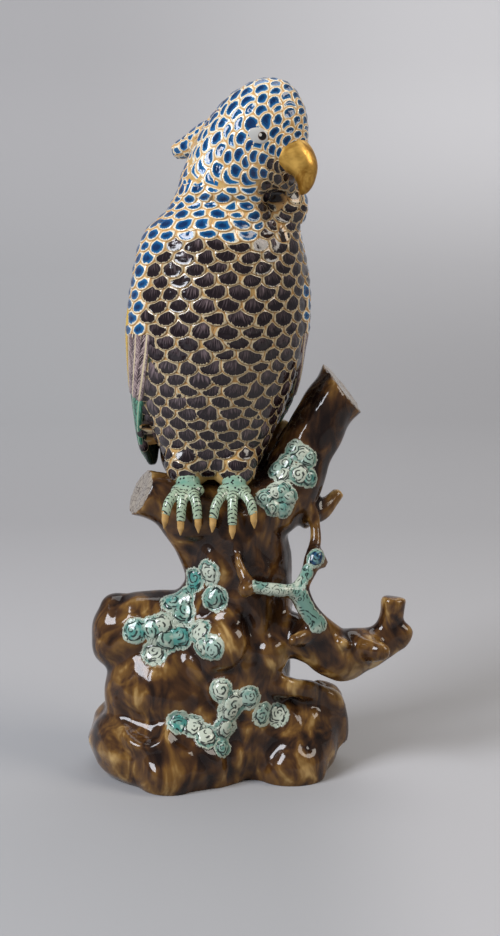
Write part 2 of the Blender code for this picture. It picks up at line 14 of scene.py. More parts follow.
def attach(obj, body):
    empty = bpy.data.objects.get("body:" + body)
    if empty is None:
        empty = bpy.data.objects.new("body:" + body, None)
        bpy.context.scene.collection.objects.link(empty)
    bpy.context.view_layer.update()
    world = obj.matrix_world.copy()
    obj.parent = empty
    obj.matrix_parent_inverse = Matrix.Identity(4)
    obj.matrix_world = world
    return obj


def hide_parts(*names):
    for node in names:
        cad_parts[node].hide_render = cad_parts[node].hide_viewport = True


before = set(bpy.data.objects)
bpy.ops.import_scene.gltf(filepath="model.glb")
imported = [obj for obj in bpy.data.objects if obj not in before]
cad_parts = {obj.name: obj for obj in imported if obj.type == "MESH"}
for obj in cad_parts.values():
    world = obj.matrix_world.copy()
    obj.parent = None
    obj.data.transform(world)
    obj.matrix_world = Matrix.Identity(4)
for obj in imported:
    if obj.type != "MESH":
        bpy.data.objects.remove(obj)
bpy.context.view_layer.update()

MM = 0.001
# The part is centred over the origin, and these sizes count from the middle of its roots.
FIGURE = Vector((0.622 * MM, 3.863 * MM, 0))

# Camera: level with the bird's shoulder, about 60 cm away, looking down a little.
CAMERA_AWAY = 600 * MM
CAMERA_HEIGHT = 218 * MM
CAMERA_FALL = 8.03
view = bpy.data.cameras.new("camera")
view.sensor_width = 36
view.lens = 53.1
view.clip_start = 10 * MM
camera = bpy.data.objects.new("camera", view)
camera.location = FIGURE + Vector((0, -CAMERA_AWAY, CAMERA_HEIGHT))
camera.rotation_euler = (math.radians(90 - CAMERA_FALL), 0, 0)
bpy.context.scene.collection.objects.link(camera)
bpy.context.scene.camera = camera
bpy.context.scene.view_settings.view_transform = "Standard"


def linear(code):
    """A hex sRGB colour as linear RGBA."""
    values = [int(code[i : i + 2], 16) / 255 for i in (1, 3, 5)]
    return (*(v / 12.92 if v < 0.04045 else ((v + 0.055) / 1.055) ** 2.4 for v in values), 1.0)


# Light: a tall window to the left of the camera, a weaker one to the right, and the room's even light.
def window(name, place, aim, size, power, colour):
    """A soft light at a place, turned to the point it is aimed at."""
    lamp = bpy.data.lights.new(name, "AREA")
    lamp.shape = "RECTANGLE"
    lamp.size, lamp.size_y = size
    lamp.energy = power
    lamp.color = linear(colour)[:3]
    made = bpy.data.objects.new(name, lamp)
    made.location = place
    made.rotation_euler = (Vector(place) - Vector(aim)).to_track_quat("Z", "Y").to_euler()
    bpy.context.scene.collection.objects.link(made)


window("left_window", (-0.95, -0.75, 0.95), (0, 0, 0.17), (0.62, 0.75), 27, "#f4f7ff")
window("right_window", (1.0, -0.35, 0.95), (0, 0, 0.15), (0.6, 0.6), 9, "#fff6ea")
window("rear_light", (0.1, 0.6, 1.5), (0, 0, 0.15), (1.2, 0.9), 7, "#ffffff")

room = bpy.data.worlds.new("room")
room.use_nodes = True
room.node_tree.nodes["Background"].inputs["Color"].default_value = linear("#d9dbe0")
room.node_tree.nodes["Background"].inputs["Strength"].default_value = 0.34
bpy.context.scene.world = room

# Backdrop: a seamless sheet of pale grey paper, curved up behind the figure. Each pair of values is a place
# on the curve, away from the figure and up, in metres.
PAPER_REACH = 2.2
PAPER_CURVE = ((-1.6, 0.0), (0.6, 0.0), (0.95, 0.05), (1.2, 0.22), (1.32, 0.5), (1.35, 2.2))
SOFT = {"interpolation_type": "SMOOTHSTEP"}
RGBA = {"data_type": "RGBA"}


def join(tree, value, socket):
    """Set or link a socket. A hex code is its colour, and a node is its first output in use."""
    if isinstance(value, bpy.types.Node):
        value = next(output for output in value.outputs if output.enabled)
    if isinstance(value, bpy.types.NodeSocket):
        tree.links.new(value, socket)
    else:
        socket.default_value = linear(value) if isinstance(value, str) else value


def add(tree, kind, *values, named=(), **settings):
    """A shader node with its settings and links. Values fill its sockets in order, and named ones by name."""
    made = tree.nodes.new(f"ShaderNode{kind}")
    for name, value in settings.items():
        setattr(made, name, value)
    in_use = [socket for socket in made.inputs if socket.enabled]
    for socket, value in zip(in_use, values):
        join(tree, value, socket)
    for name, value in dict(named).items():
        join(tree, value, made.inputs[name])
    return made


def fired(name, roughness=0.1, metallic=0.0):
    """A material, and the function that adds a node to it."""
    made = bpy.data.materials.new(name)
    made.use_nodes = True
    shader = made.node_tree.nodes["Principled BSDF"]
    shader.inputs["Roughness"].default_value = roughness
    shader.inputs["Metallic"].default_value = metallic
    return made, partial(add, made.node_tree)


def coated(made, colour, relief=None, depth=0.1 * MM):
    """The material with its colour and its relief on."""
    tree = made.node_tree
    shader = tree.nodes["Principled BSDF"]
    join(tree, colour, shader.inputs["Base Color"])
    if relief is not None:
        bump = add(tree, "Bump", named={"Height": relief, "Distance": depth, "Strength": 1.0})
        join(tree, bump, shader.inputs["Normal"])
    return made


def grey_paper():
    """Matt paper with painted light: it is painted lighter from the floor up to the wall, and more so on the
    right, where more of the room's light falls; it has no shine.
    """
    made, node = fired("grey backdrop paper", roughness=0.75)
    place = node("SeparateXYZ", node("TexCoord").outputs["Object"])
    across, away, height = (place.outputs[axis] for axis in "XYZ")
    # Painted light and shade: the grey changes from place to place as the room's light falls on the paper,
    # lightest high on the wall to the right.
    near = node("Mix", node("MapRange", across, 0.01, 0.08, **SOFT), "#959596", "#a4a3a4", **RGBA)
    floor = node("Mix", node("MapRange", away, -0.1, 0.25, **SOFT), near, "#a1a0a1", **RGBA)
    curve = node("Mix", node("MapRange", across, -0.2, 0.2, **SOFT), "#a5a5a6", "#9f9e9f", **RGBA)
    wall = node("Mix", node("MapRange", across, -0.25, 0.4, **SOFT), "#b2b1b2", "#d6d5d6", **RGBA)
    colour = node("Mix", node("MapRange", height, 0.0, 0.06, **SOFT), floor, curve, **RGBA)
    return coated(made, node("Mix", node("MapRange", height, 0.08, 0.45, **SOFT), colour, wall, **RGBA))


def backdrop():
    shape = bmesh.new()
    rows = [[shape.verts.new((x, y, z)) for x in (-PAPER_REACH, PAPER_REACH)] for y, z in PAPER_CURVE]
    for near, far in zip(rows, rows[1:]):
        shape.faces.new((near[0], near[1], far[1], far[0]))
    mesh = bpy.data.meshes.new("backdrop")
    shape.to_mesh(mesh)
    shape.free()
    mesh.shade_smooth()
    mesh.materials.append(grey_paper())
    made = bpy.data.objects.new("backdrop", mesh)
    bpy.context.scene.collection.objects.link(made)


backdrop()

# The stump: one casting with the bird, in clay lumps that were luted together and sponged smooth. It has a
# mottled brown glaze that runs pale on the ridges and pools almost black in the hollows.
PERCH_HEIGHT = 128 * MM
PERCH_RADIUS = 14.5 * MM
STUB_RADIUS = 10.5 * MM
LIMB_RADIUS = 11.5 * MM
FINGER_RADIUS = 3.1 * MM
TWIG_RADIUS = 4 * MM
BRANCH_RADIUS = 11.5 * MM
TRUNK_RADIUS = 21 * MM
ROOT_RADIUS = 17 * MM
STUMP_GRAIN = 1.1 * MM
HOLLOW_REACH = 14
BLOCK = 60 * MM


def up(x, y, z):
    """A point by the perch: millimetres, with z counted from the perch's own height."""
    return FIGURE + Vector((x * MM, y * MM, PERCH_HEIGHT + z * MM))


def low(x, y, z):
    """A point by the roots: millimetres from the middle of the foot."""
    return FIGURE + Vector((x * MM, y * MM, z * MM))


def ball(shape, centre, radii, turn=0.0):
    """An ellipsoid of clay, turned about the vertical."""
    place = Matrix.Translation(centre) @ Matrix.Rotation(turn, 4, "Z") @ Matrix.Diagonal((*radii, 1.0))
    bmesh.ops.create_uvsphere(shape, u_segments=28, v_segments=18, radius=1.0, matrix=place)


def limb(shape, stations, sides=4, resolution=8):
    """A round, tapering rod along a smooth line. Each station is its point and its radius."""
    line = bpy.data.curves.new("line", "CURVE")
    line.dimensions = "3D"
    line.bevel_depth = 1.0
    line.bevel_resolution = sides
    line.resolution_u = resolution
    line.use_fill_caps = True
    spline = line.splines.new("BEZIER")
    spline.bezier_points.add(len(stations) - 1)
    for knot, (point, radius) in zip(spline.bezier_points, stations):
        knot.co = point
        knot.radius = radius
        knot.handle_left_type = knot.handle_right_type = "AUTO"
    guide = bpy.data.objects.new("line", line)
    bpy.context.scene.collection.objects.link(guide)
    graph = bpy.context.evaluated_depsgraph_get()
    mesh = bpy.data.meshes.new_from_object(guide.evaluated_get(graph))
    bpy.data.objects.remove(guide)
    fresh = bmesh.new()
    fresh.from_mesh(mesh)
    bmesh.ops.remove_doubles(fresh, verts=fresh.verts, dist=0.01 * MM)
    bmesh.ops.recalc_face_normals(fresh, faces=fresh.faces)
    fresh.to_mesh(mesh)
    fresh.free()
    shape.from_mesh(mesh)
    bpy.data.meshes.remove(mesh)


def block_beyond(point, normal, size, roughen=0.0):
    """A block whose near face lies at the point, square to the normal, and can be uneven like broken clay."""
    shape = bmesh.new()
    bmesh.ops.create_cube(shape, size=size)
    if roughen:
        bmesh.ops.subdivide_edges(shape, edges=shape.edges, cuts=24, use_grid_fill=True)
        for v in shape.verts:
            v.co.z += roughen * noise.noise(v.co / (7 * MM))
    turn = Vector(normal).to_track_quat("Z", "Y").to_matrix().to_4x4()
    place = Matrix.Translation(point) @ turn @ Matrix.Translation((0, 0, size / 2))
    bmesh.ops.transform(shape, matrix=place, verts=shape.verts)
    return mesh_object("cutter", shape)


def mesh_object(name, shape, material=None):
    """A smooth-shaded piece from a finished shape."""
    mesh = bpy.data.meshes.new(name)
    shape.to_mesh(mesh)
    shape.free()
    mesh.shade_smooth()
    if material:
        mesh.materials.append(material)
    made = bpy.data.objects.new(name, mesh)
    bpy.context.scene.collection.objects.link(made)
    return made


def shaped(item, *modifiers):
    """The item with these modifiers applied to its mesh, each a type and its settings."""
    for kind, settings in modifiers:
        made = item.modifiers.new(kind, kind)
        for name, value in settings.items():
            setattr(made, name, value)
    graph = bpy.context.evaluated_depsgraph_get()
    mesh = bpy.data.meshes.new_from_object(item.evaluated_get(graph))
    item.modifiers.clear()
    item.data = mesh
    mesh.shade_smooth()
    return item


def remesh(size):
    """The settings that fuse lumps into one skin, with a grain of this size."""
    return "REMESH", {"mode": "VOXEL", "voxel_size": size, "use_smooth_shade": True}


def smooth(passes):
    """The settings that sponge the clay smooth."""
    return "SMOOTH", {"factor": 0.5, "iterations": passes}


def points_of(mesh, vectors="vertices", field="co"):
    """The mesh's points, or other vectors of it, as rows of numbers."""
    found = np.empty(len(getattr(mesh, vectors)) * 3)
    getattr(mesh, vectors).foreach_get(field, found)
    return found.reshape(-1, 3)


def averaged(mesh, values, passes):
    """Values at the mesh's points, each averaged with its neighbours over and over."""
    edges = np.empty(len(mesh.edges) * 2, dtype=int)
    mesh.edges.foreach_get("vertices", edges)
    a, b = edges.reshape(-1, 2).T
    count = np.bincount(a, minlength=len(values)) + np.bincount(b, minlength=len(values)) + 1.0
    for _ in range(passes):
        total = values.copy()
        np.add.at(total, a, values[b])
        np.add.at(total, b, values[a])
        values = (total.T / count).T
    return values


def mark(mesh, name, values):
    """Keep a number at each point, for the shader to read."""
    layer = mesh.attributes.new(name, "FLOAT", "POINT")
    layer.data.foreach_set("value", np.asarray(values, dtype=np.float32))


def hollows(mesh):
    """How deep each point lies below its surroundings, in millimetres: glaze pools there."""
    co = points_of(mesh)
    sunk = averaged(mesh, co, HOLLOW_REACH) - co
    return np.einsum("ij,ij->i", sunk, points_of(mesh, "vertex_normals", "vector")) / MM


def stump_clay():
    """All the lumps of clay: the perch and its limb, the trunk, the low branch, the twigs and the roots."""
    clay = bmesh.new()
    perch = [
        (up(-62, -10, -1.5), STUB_RADIUS),
        (up(-50, -9, -3.5), STUB_RADIUS),
        (up(-38, -8, -7), STUB_RADIUS * 1.12),
        (up(-22, -8, -14), PERCH_RADIUS),
        (up(-2, -6, -15), PERCH_RADIUS * 1.1),
        (up(14, -2, -6), PERCH_RADIUS),
        (up(24, 3, 13.5), LIMB_RADIUS * 1.12),
        (up(32.6, 7, 28), LIMB_RADIUS * 1.07),
        (up(41.4, 11, 40.6), LIMB_RADIUS * 1.14),
        (up(53, 15, 55.5), LIMB_RADIUS * 1.2),
    ]
    limb(clay, perch)
    limb(clay, [(up(-14, 14, -8), 12 * MM), (up(-31, 17, 8), 10 * MM), (up(-37, 18, 20), 5 * MM)])
    limb(clay, [(up(2, 14, -6), 10 * MM), (up(11, 24, 12), 7 * MM), (up(16, 29, 22), 5 * MM)])
    ball(clay, up(-14, 10, -8), (25 * MM, 17 * MM, 15 * MM))
    limb(clay, [(up(22, -1, -17), 6 * MM), (up(30.5, 0, -14), 4.4 * MM), (up(38, 3.5, -7.6), FINGER_RADIUS)])
    ball(clay, up(38.3, 3.7, -7.2), (FINGER_RADIUS,) * 3)

    core = [
        (up(-4, -3, -10), TRUNK_RADIUS * 1.0),
        (up(-6, -3, -24), TRUNK_RADIUS * 1.08),
        (up(-4, -2, -42), TRUNK_RADIUS * 1.12),
        (low(-8, -3, 66), TRUNK_RADIUS * 1.28),
        (low(-12, -3, 40), TRUNK_RADIUS * 1.45),
        (low(-12, -2, 12), TRUNK_RADIUS * 1.5),
    ]
    limb(clay, core)
    sweep = [(up(-36, -8, -12), 8 * MM), (up(-25, -8, -28), 8 * MM), (up(-21, -8, -44), 8 * MM)]
    limb(clay, sweep + [(low(-30, -10, 68), 10 * MM)])
    ball(clay, low(-10, -24, 58.5), (13.5 * MM, 11.5 * MM, 14.5 * MM))
    ball(clay, low(8, -22, 55), (9 * MM, 8 * MM, 9 * MM))

    branch = [
        (low(2, -10, 62), BRANCH_RADIUS),
        (low(18, -15, 62), BRANCH_RADIUS * 0.90),
        (low(29, -16, 58.6), BRANCH_RADIUS * 0.86),
        (low(39, -15.5, 53.6), BRANCH_RADIUS * 1.04),
        (low(48, -15, 55.4), BRANCH_RADIUS * 0.86),
        (low(56, -14, 58.6), BRANCH_RADIUS * 0.70),
        (low(64, -14, 62), BRANCH_RADIUS * 0.58),
    ]
    limb(clay, branch)
    ball(clay, low(65, -14, 61.5), (6.6 * MM, 6.2 * MM, 6.4 * MM))
    limb(clay, [(low(56, -14, 58), 6.5 * MM), (low(60.5, -14, 68), 5.6 * MM), (low(62.3, -14, 79), 5.7 * MM)])
    limb(clay, [(low(46, -18, 58), 6 * MM), (low(55.5, -28, 58.5), 5 * MM)])
    ball(clay, low(56, -28.5, 58.6), (4.8 * MM,) * 3)
    ball(clay, low(40, -26.5, 61.5), (3.2 * MM,) * 3)
    limb(clay, [(low(25, -24, 65), 4.4 * MM), (low(18.5, -31, 64), 3.4 * MM)])
    ball(clay, low(18.2, -31.4, 64), (3.4 * MM,) * 3)
    fork = low(20.5, -26, 84.5)
    limb(clay, [(low(35.5, -19, 61), 7 * MM), (low(27, -24, 71.5), 5 * MM), (fork, TWIG_RADIUS * 1.15)])
    left_arm = [(low(11, -31, 86), TWIG_RADIUS * 0.84), (low(0, -33, 87.5), TWIG_RADIUS * 0.88)]
    limb(clay, [(fork, TWIG_RADIUS)] + left_arm)
    ball(clay, low(-1.5, -34.5, 86.5), (3.9 * MM,) * 3)
    sprig = [(low(0, -32, 88), 3.4 * MM), (low(-4.2, -29, 95), 2.7 * MM), (low(-5.6, -27.5, 101), 1.9 * MM)]
    limb(clay, sprig)
    climbing = [
        (fork, TWIG_RADIUS),
        (low(25.3, -20, 92.5), TWIG_RADIUS * 0.88),
        (up(27.8, -13, -26.5), TWIG_RADIUS * 0.76),
        (up(27.8, -9, -18), TWIG_RADIUS * 0.74),
        (up(25.6, -8, -11.5), TWIG_RADIUS * 0.78),
        (up(19.8, -12, -7.5), TWIG_RADIUS * 0.64),
    ]
    limb(clay, climbing)
    ball(clay, low(28.6, -18, 97.8), (4.2 * MM, 3.8 * MM, 4.0 * MM))
    limb(clay, [(low(28, -17, 95), 3.4 * MM), (low(33.5, -14, 94.5), 2.9 * MM)])

    blunt = [
        (low(0, -4, 58), ROOT_RADIUS),
        (low(-26, -6, 61), ROOT_RADIUS * 1.08),
        (low(-48, -5, 61.8), ROOT_RADIUS * 1.02),
        (low(-58, -4, 60.5), ROOT_RADIUS * 0.94),
    ]
    limb(clay, blunt)
    ball(clay, low(-57.5, -4, 60), (13.5 * MM, 15 * MM, 16.5 * MM))
    ball(clay, low(-58.5, -4, 70.5), (8.5 * MM, 9 * MM, 8.5 * MM))
    ball(clay, low(-36, -6, 34), (29 * MM, 26 * MM, 30 * MM))
    left_foot = [
        (low(-50, 14, 12), 18 * MM),
        (low(-54, -6, 13), 18 * MM),
        (low(-40, -22, 12), 19 * MM),
        (low(-20, -22, 10), 18 * MM),
        (low(-4, -8, 12), 16 * MM),
    ]
    limb(clay, left_foot)
    ball(clay, low(-35, -29, 6), (15 * MM, 17 * MM, 13 * MM), 0.2)
    ball(clay, low(-24, 2, 6), (38 * MM, 26 * MM, 22 * MM))
    ball(clay, low(4, -12, 12), (18 * MM, 17 * MM, 20 * MM))
    ball(clay, low(18, -6, 14), (22.5 * MM, 22 * MM, 23 * MM))
    ball(clay, low(18, -20, 5), (16 * MM, 14 * MM, 14 * MM))
    ball(clay, low(-12, 16, 16), (42 * MM, 20 * MM, 26 * MM))
    arch = [
        (low(-8, -19, 46), 9 * MM),
        (low(8, -21.5, 43), 5.2 * MM),
        (low(19, -20.5, 39.6), 4.6 * MM),
        (low(30, -13.5, 35.6), 5 * MM),
        (low(36, -8, 27), 7 * MM),
        (low(35.8, -4, 10), 8 * MM),
    ]
    limb(clay, arch)
    limb(clay, [(low(28, -3, 33.5), 6 * MM), (low(35, 2, 30), 6 * MM), (low(36, 6, 14), 7 * MM)])
    return clay


BREAK = (up(41, 10, 40), Vector((0.78, -0.05, 0.62)).normalized())
SAWN = (up(-48.6, -6, -3.5), Vector((-0.85, -0.35, 0.39)).normalized())


# The brown glaze's marks: how far it ran, its mottling, its brush strokes and its grit, then the clouds
# that are inked on the lichen's ground and the cracks in the sawn wood.
GLAZE_RUN = 38.46 * MM
GLAZE_MOTTLE = 23.81 * MM
GLAZE_STROKE = 6.667 * MM
GLAZE_GRIT = 1.613 * MM
INK_CLOUD = 4.762 * MM
WOOD_CRACK = 3.03 * MM
BROWNS = ((0.33, "#150a07"), (0.41, "#27180f"), (0.49, "#432b17"), (0.58, "#694a22"), (0.69, "#a58653"))


def brown_glaze():
    """Lead glaze that ran in the kiln: very glossy, golden on the ridges and almost black in the hollows."""
    made, node = fired("mottled brown glaze", roughness=0.08)
    made.node_tree.nodes["Principled BSDF"].inputs["Specular IOR Level"].default_value = 0.36
    at = node("TexCoord").outputs["Object"]
    marks = ("sunk", "lichen", "cut")
    sunk, patch, cut = (node("Attribute", attribute_name=name).outputs["Fac"] for name in marks)
    run = node("TexNoise", at, 1 / GLAZE_RUN, 1.0).outputs["Color"]
    bent = node("VectorMath", at, node("VectorMath", run, 0.03, operation="SCALE"), operation="ADD")
    drawn = node("VectorMath", bent, (1.0, 1.0, 0.55), operation="MULTIPLY")
    broad = node("TexNoise", bent, 1 / GLAZE_MOTTLE)
    streak = node("TexNoise", drawn, 1 / GLAZE_STROKE, named={"Distortion": 0.5})
    fine = node("TexNoise", drawn, 1 / GLAZE_GRIT, 3.0, 0.6)
    speck = node("Math", fine, 0.5, operation="SUBTRACT")
    tone = node("Math", broad, 0.4, node("Math", streak, 0.6, operation="MULTIPLY"), operation="MULTIPLY_ADD")
    tone = node("Math", speck, 0.09, tone, operation="MULTIPLY_ADD")
    tone = node("Math", sunk, -0.1, tone, operation="MULTIPLY_ADD")
    higher = node("MapRange", node("SeparateXYZ", at).outputs["Z"], 0.02, 0.12, **SOFT)
    ramp = node("ValToRGB", node("Math", higher, -0.055, tone, operation="MULTIPLY_ADD"))
    while len(ramp.color_ramp.elements) < len(BROWNS):
        ramp.color_ramp.elements.new(0.5)
    for stop, (place, code) in zip(ramp.color_ramp.elements, BROWNS):
        stop.position = place
        stop.color = linear(code)
    patch = node("Math", speck, 0.5, patch, operation="MULTIPLY_ADD")
    cloud = node("Math", fine, 0.12, node("TexVoronoi", bent, 1 / INK_CLOUD), operation="MULTIPLY_ADD")
    ink = node("MapRange", node("Math", cloud, 0.13, operation="PINGPONG"), 0.06, 0.03, **SOFT)
    ink = node("Math", ink, node("MapRange", fine, 0.44, 0.52, **SOFT), operation="MULTIPLY")
    ink = node("Math", ink, node("MapRange", patch, 0.94, 0.86, **SOFT), operation="MULTIPLY")
    ground = node("Mix", node("MapRange", streak, 0.42, 0.62, **SOFT), "#67897c", "#a9b1a0", **RGBA)
    ground = node("Mix", node("MapRange", patch, 0.84, 0.93, **SOFT), ground, "#a5ae9d", **RGBA)
    ground = node("Mix", node("Math", ink, 0.92, operation="MULTIPLY"), ground, "#101a1a", **RGBA)
    cracks = node("TexVoronoi", bent, 1 / WOOD_CRACK, feature="DISTANCE_TO_EDGE")
    wood = node("Mix", fine, "#6b625c", "#a39a8c", **RGBA)
    wood = node("Mix", node("MapRange", cracks, 0.05, 0.0, **SOFT), wood, "#2c2020", **RGBA)
    colour = node("Mix", node("MapRange", cut, 0.45, 0.6, **SOFT), ramp, wood, **RGBA)
    colour = node("Mix", node("MapRange", patch, 1.02, 0.97, **SOFT), colour, ground, **RGBA)
    relief = node("Math", streak, 0.5, broad, operation="MULTIPLY_ADD")
    relief = node("Math", node("MapRange", patch, 1.1, 0.85, **SOFT), relief, operation="ADD")
    return coated(made, colour, relief, 0.4 * MM)


def ruffle(mesh):
    """Let the clay's surface roll in soft folds, as modelled wood does."""
    co = points_of(mesh)
    normals = points_of(mesh, "vertex_normals", "vector")
    push = np.empty(len(co))
    for i, point in enumerate(co):
        at = Vector(point) / MM
        swirl = noise.noise(at / 26.0) * 3.0
        fold = math.sin(at.x * 0.16 + at.z * 0.11 + swirl * 2.2) * 0.5
        push[i] = (0.75 * noise.noise(at / 11.0) + fold * 0.8) * MM * min(1.0, max(0.0, at.z / 6.0))
    mesh.vertices.foreach_set("co", (co + normals * push[:, None]).ravel())


# Modelling tool marks seen from the front: the line in millimetres across and up, its half-width and depth.
TOOL_MARKS = (
    (((-20, 73), (-16, 76.5), (-10, 78.8), (-3.3, 77.5), (0.5, 71), (0.9, 62.7), (-1.8, 54.5)), 1.9, 2.0),
    (((-1.8, 54), (-7.3, 50.3), (-15.3, 48.2), (-20.3, 44.1), (-18.9, 37.4), (-13.4, 31.6)), 2.2, 2.2),
    (((-56.8, 77.2), (-58.9, 69.8), (-60.1, 60.4)), 2.4, 0.9),
    (((-33, 24.3), (-24.2, 19.3), (-17.7, 10), (-16.3, 1.7)), 1.7, 1.6),
    (((-28.3, 25.2), (-20.3, 20.5), (-13.3, 16.9)), 1.4, 1.0),
    (((-57.4, 33.9), (-56, 26.1), (-50.5, 19.8), (-41.5, 19.1), (-33.9, 24.5)), 2.2, -1.3),
    (((-53, 29.4), (-43.5, 25.7)), 4.6, 2.6),
    (((29.7, 39.1), (34.9, 30.6), (41.7, 24.7)), 1.8, 1.4),
    (((19, 34.8), (24.2, 25.3), (25.3, 15.8)), 2.0, 1.5),
    (((-7.4, 4.2), (-8.4, 16.8), (-4.8, 28.9)), 3.0, 2.4),
    (((-6.3, 83.8), (-7.3, 92), (-10.8, 98.1), (-18.3, 104.2)), 2.6, 1.6),
    (((3.7, 104.5), (6.8, 97.3), (15.9, 91.1)), 1.8, 0.9),
    (((-1.8, 72.4), (3.7, 65.2), (2.7, 54.8)), 2.0, 1.4),
    (((5, 48.5), (14, 46), (24.2, 43), (32.4, 38)), 1.6, -0.8),
)


# Lichen patches on the front: across, up and radius in millimetres, and 0 for celadon, 1 for turquoise, 2
# for the blue flower and 3 where only the painted ground shows.
LICHEN = (
    (19, 143, 3.1, 0), (25, 139, 3.3, 1), (22.5, 141, 3.1, 0), (15.5, 137.5, 3.1, 0),
    (11.5, 134, 3.1, 1), (14, 132.5, 3.1, 0), (22, 132.5, 3.9, 0), (25.5, 130.5, 3.1, 1),
    (11, 125.5, 3.1, 0), (14, 126, 3.1, 0), (6.5, 123, 3.1, 1), (16.5, 123, 3.1, 0),
    (10, 119, 3.1, 0), (14.5, 118, 3.1, 1),
    (-18, 91, 4.2, 0), (-24, 86.5, 4.2, 1), (-15, 80.5, 4.2, 0), (-29, 78.5, 4.2, 0),
    (-33, 77, 4.2, 1), (-28.5, 73, 4.2, 0), (-42, 67, 4.2, 0), (-49.5, 65.5, 4.2, 1),
    (-38, 68.5, 4.2, 0), (-36, 62, 4.2, 0), (-30, 63.5, 4.2, 1), (-21.5, 66.5, 4.2, 0),
    (-20.5, 61.5, 4.2, 0), (-16.5, 61.5, 4.2, 1), (-41, 56, 4.2, 0),
    (-12.5, 42.5, 3.9, 0), (-0.5, 38.5, 3.9, 1), (-6.5, 37, 3.9, 0), (-8.5, 33, 3.9, 0),
    (5.5, 30, 3.9, 1), (11.5, 28.5, 3.9, 0), (-10.5, 25.5, 3.9, 0), (-30.5, 28, 3.9, 1),
    (-24.5, 26.5, 3.9, 0), (-18.5, 23, 3.9, 0), (-11.5, 17.5, 3, 1),
    (5, 88.5, 3, 3), (9, 88, 3, 3), (13, 86.5, 2.8, 3), (17, 87, 2.8, 3),
    (20, 87, 3, 3), (21.5, 89.5, 2.6, 3), (23.5, 92, 2.6, 3), (20.5, 84.5, 3, 3),
    (22, 81, 3, 3), (23.5, 77.5, 3, 3), (26, 73.5, 3, 3), (29, 70.5, 3, 3),
    (28.5, 97.5, 3.2, 2),
)


def seen_from_front(clay, x, z):
    """The point of the clay that is seen at so many millimetres across and up, and its normal."""
    point, normal, _, _ = clay.ray_cast(low(x, -200, z), Vector((0, 1, 0)))
    return point, normal


def tooled(mesh):
    """Press the tool marks into the front of the clay, or draw them up where the depth is negative."""
    co, normals = points_of(mesh), points_of(mesh, "vertex_normals", "vector")
    flat = (co[:, (0, 2)] - np.array((FIGURE.x, FIGURE.z))) / MM
    push = np.zeros(len(co))
    for line, width, depth in TOOL_MARKS:
        near = np.full(len(co), 1e9)
        for start, end in zip(np.array(line[:-1], float), np.array(line[1:], float)):
            along = np.clip((flat - start) @ (end - start) / ((end - start) @ (end - start)), 0, 1)
            near = np.minimum(near, np.linalg.norm(flat - start - along[:, None] * (end - start), axis=1))
        push -= depth * np.exp(-((near / width) ** 2))
    push *= np.clip(0.1 - normals[:, 1] * 1.6, 0, 1) * MM
    mesh.vertices.foreach_set("co", (co + normals * push[:, None]).ravel())


def make_stump():
    stump = mesh_object("stump", stump_clay(), brown_glaze())
    shaped(stump, remesh(STUMP_GRAIN), smooth(13))
    ruffle(stump.data)
    tooled(stump.data)
    scoop = bmesh.new()
    limb(scoop, [(low(3, -31, 37.5), 2.6 * MM), (low(13, -30, 35.8), 4.4 * MM), (low(24, -26, 33), 4.6 * MM)])
    cutters = [
        mesh_object("cutter", scoop),
        block_beyond(*BREAK, BLOCK, 1.6 * MM),
        block_beyond(*SAWN, BLOCK, 0.8 * MM),
        block_beyond(Vector(), (0, 0, -1), 400 * MM),
    ]
    away = {"operation": "DIFFERENCE", "solver": "EXACT"}
    cuts = [("BOOLEAN", {**away, "object": cutter}) for cutter in cutters]
    shaped(stump, *cuts[:3])
    shaped(stump, remesh(STUMP_GRAIN), smooth(2), cuts[3])
    for cutter in cutters:
        bpy.data.objects.remove(cutter)
    mesh = stump.data
    mark(mesh, "sunk", np.clip(hollows(mesh), -3, 3))
    co, normals = points_of(mesh), points_of(mesh, "vertex_normals", "vector")
    cut = np.zeros(len(co))
    for point, normal in (BREAK, SAWN):
        above = (co - np.array(point)) @ np.array(normal)
        near = np.linalg.norm(co - np.array(point), axis=1) < 22 * MM
        cut[near & (above > -1.5 * MM) & (normals @ np.array(normal) > 0.8)] = 1
    mark(mesh, "cut", averaged(mesh, cut, 1))
    clay = BVHTree.FromObject(stump, bpy.context.evaluated_depsgraph_get())
    spread = np.full(len(co), 4.0)
    for x, z, radius, _ in LICHEN:
        seat, _ = seen_from_front(clay, x, z)
        if seat:
            spread = np.minimum(spread, np.linalg.norm(co - np.array(seat), axis=1) / (radius * 1.42 * MM))
    mark(mesh, "lichen", spread)
    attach(stump, "root")
    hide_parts("parrot_figurine")
    return stump


stump = make_stump()

# The bird's skin: head, torso, wings and thighs, pressed in moulds and luted together, then fired with a
# pale body glaze. It shows only where the enamels leave it bare.
TORSO_HEIGHT = 120 * MM
TORSO_WIDTH = 75 * MM
TORSO_DEPTH = 70 * MM
SKULL_REACH = 53 * MM
SKULL_WIDTH = 42 * MM
THROAT_GROOVE = 6 * MM
THROAT_BEND = 3.5 * MM
BODY_YAW = math.radians(15)
HEAD_YAW = math.radians(55)
NECK_TWIST = 0.3
WING_LENGTH = 107 * MM
WING_THICKNESS = 6 * MM
WING_BURY = 2.2
WING_FALL = 0.52
RIGHT_SWING = 30
SWING_FROM = 0.35
NECK_BLEND = 0.16
UPWARD = Vector((0, 0, 1))
THROAT = up(14.5, -17, 0) + UPWARD * TORSO_HEIGHT
FACE_ANGLE = math.radians(-22)
NAPE_ANGLE = math.radians(90)
# The skull's sections: the angle over the throat in degrees, then shares of its reach and width.
SKULL = (
    (-22, 0.44, 0.26),
    (-12, 0.70, 0.45),
    (0, 0.895, 0.73),
    (10, 0.95, 0.88),
    (25, 0.95, 0.95),
    (45, 0.925, 1.02),
    (65, 0.90, 1.14),
    (90, 0.92, 1.28),
)
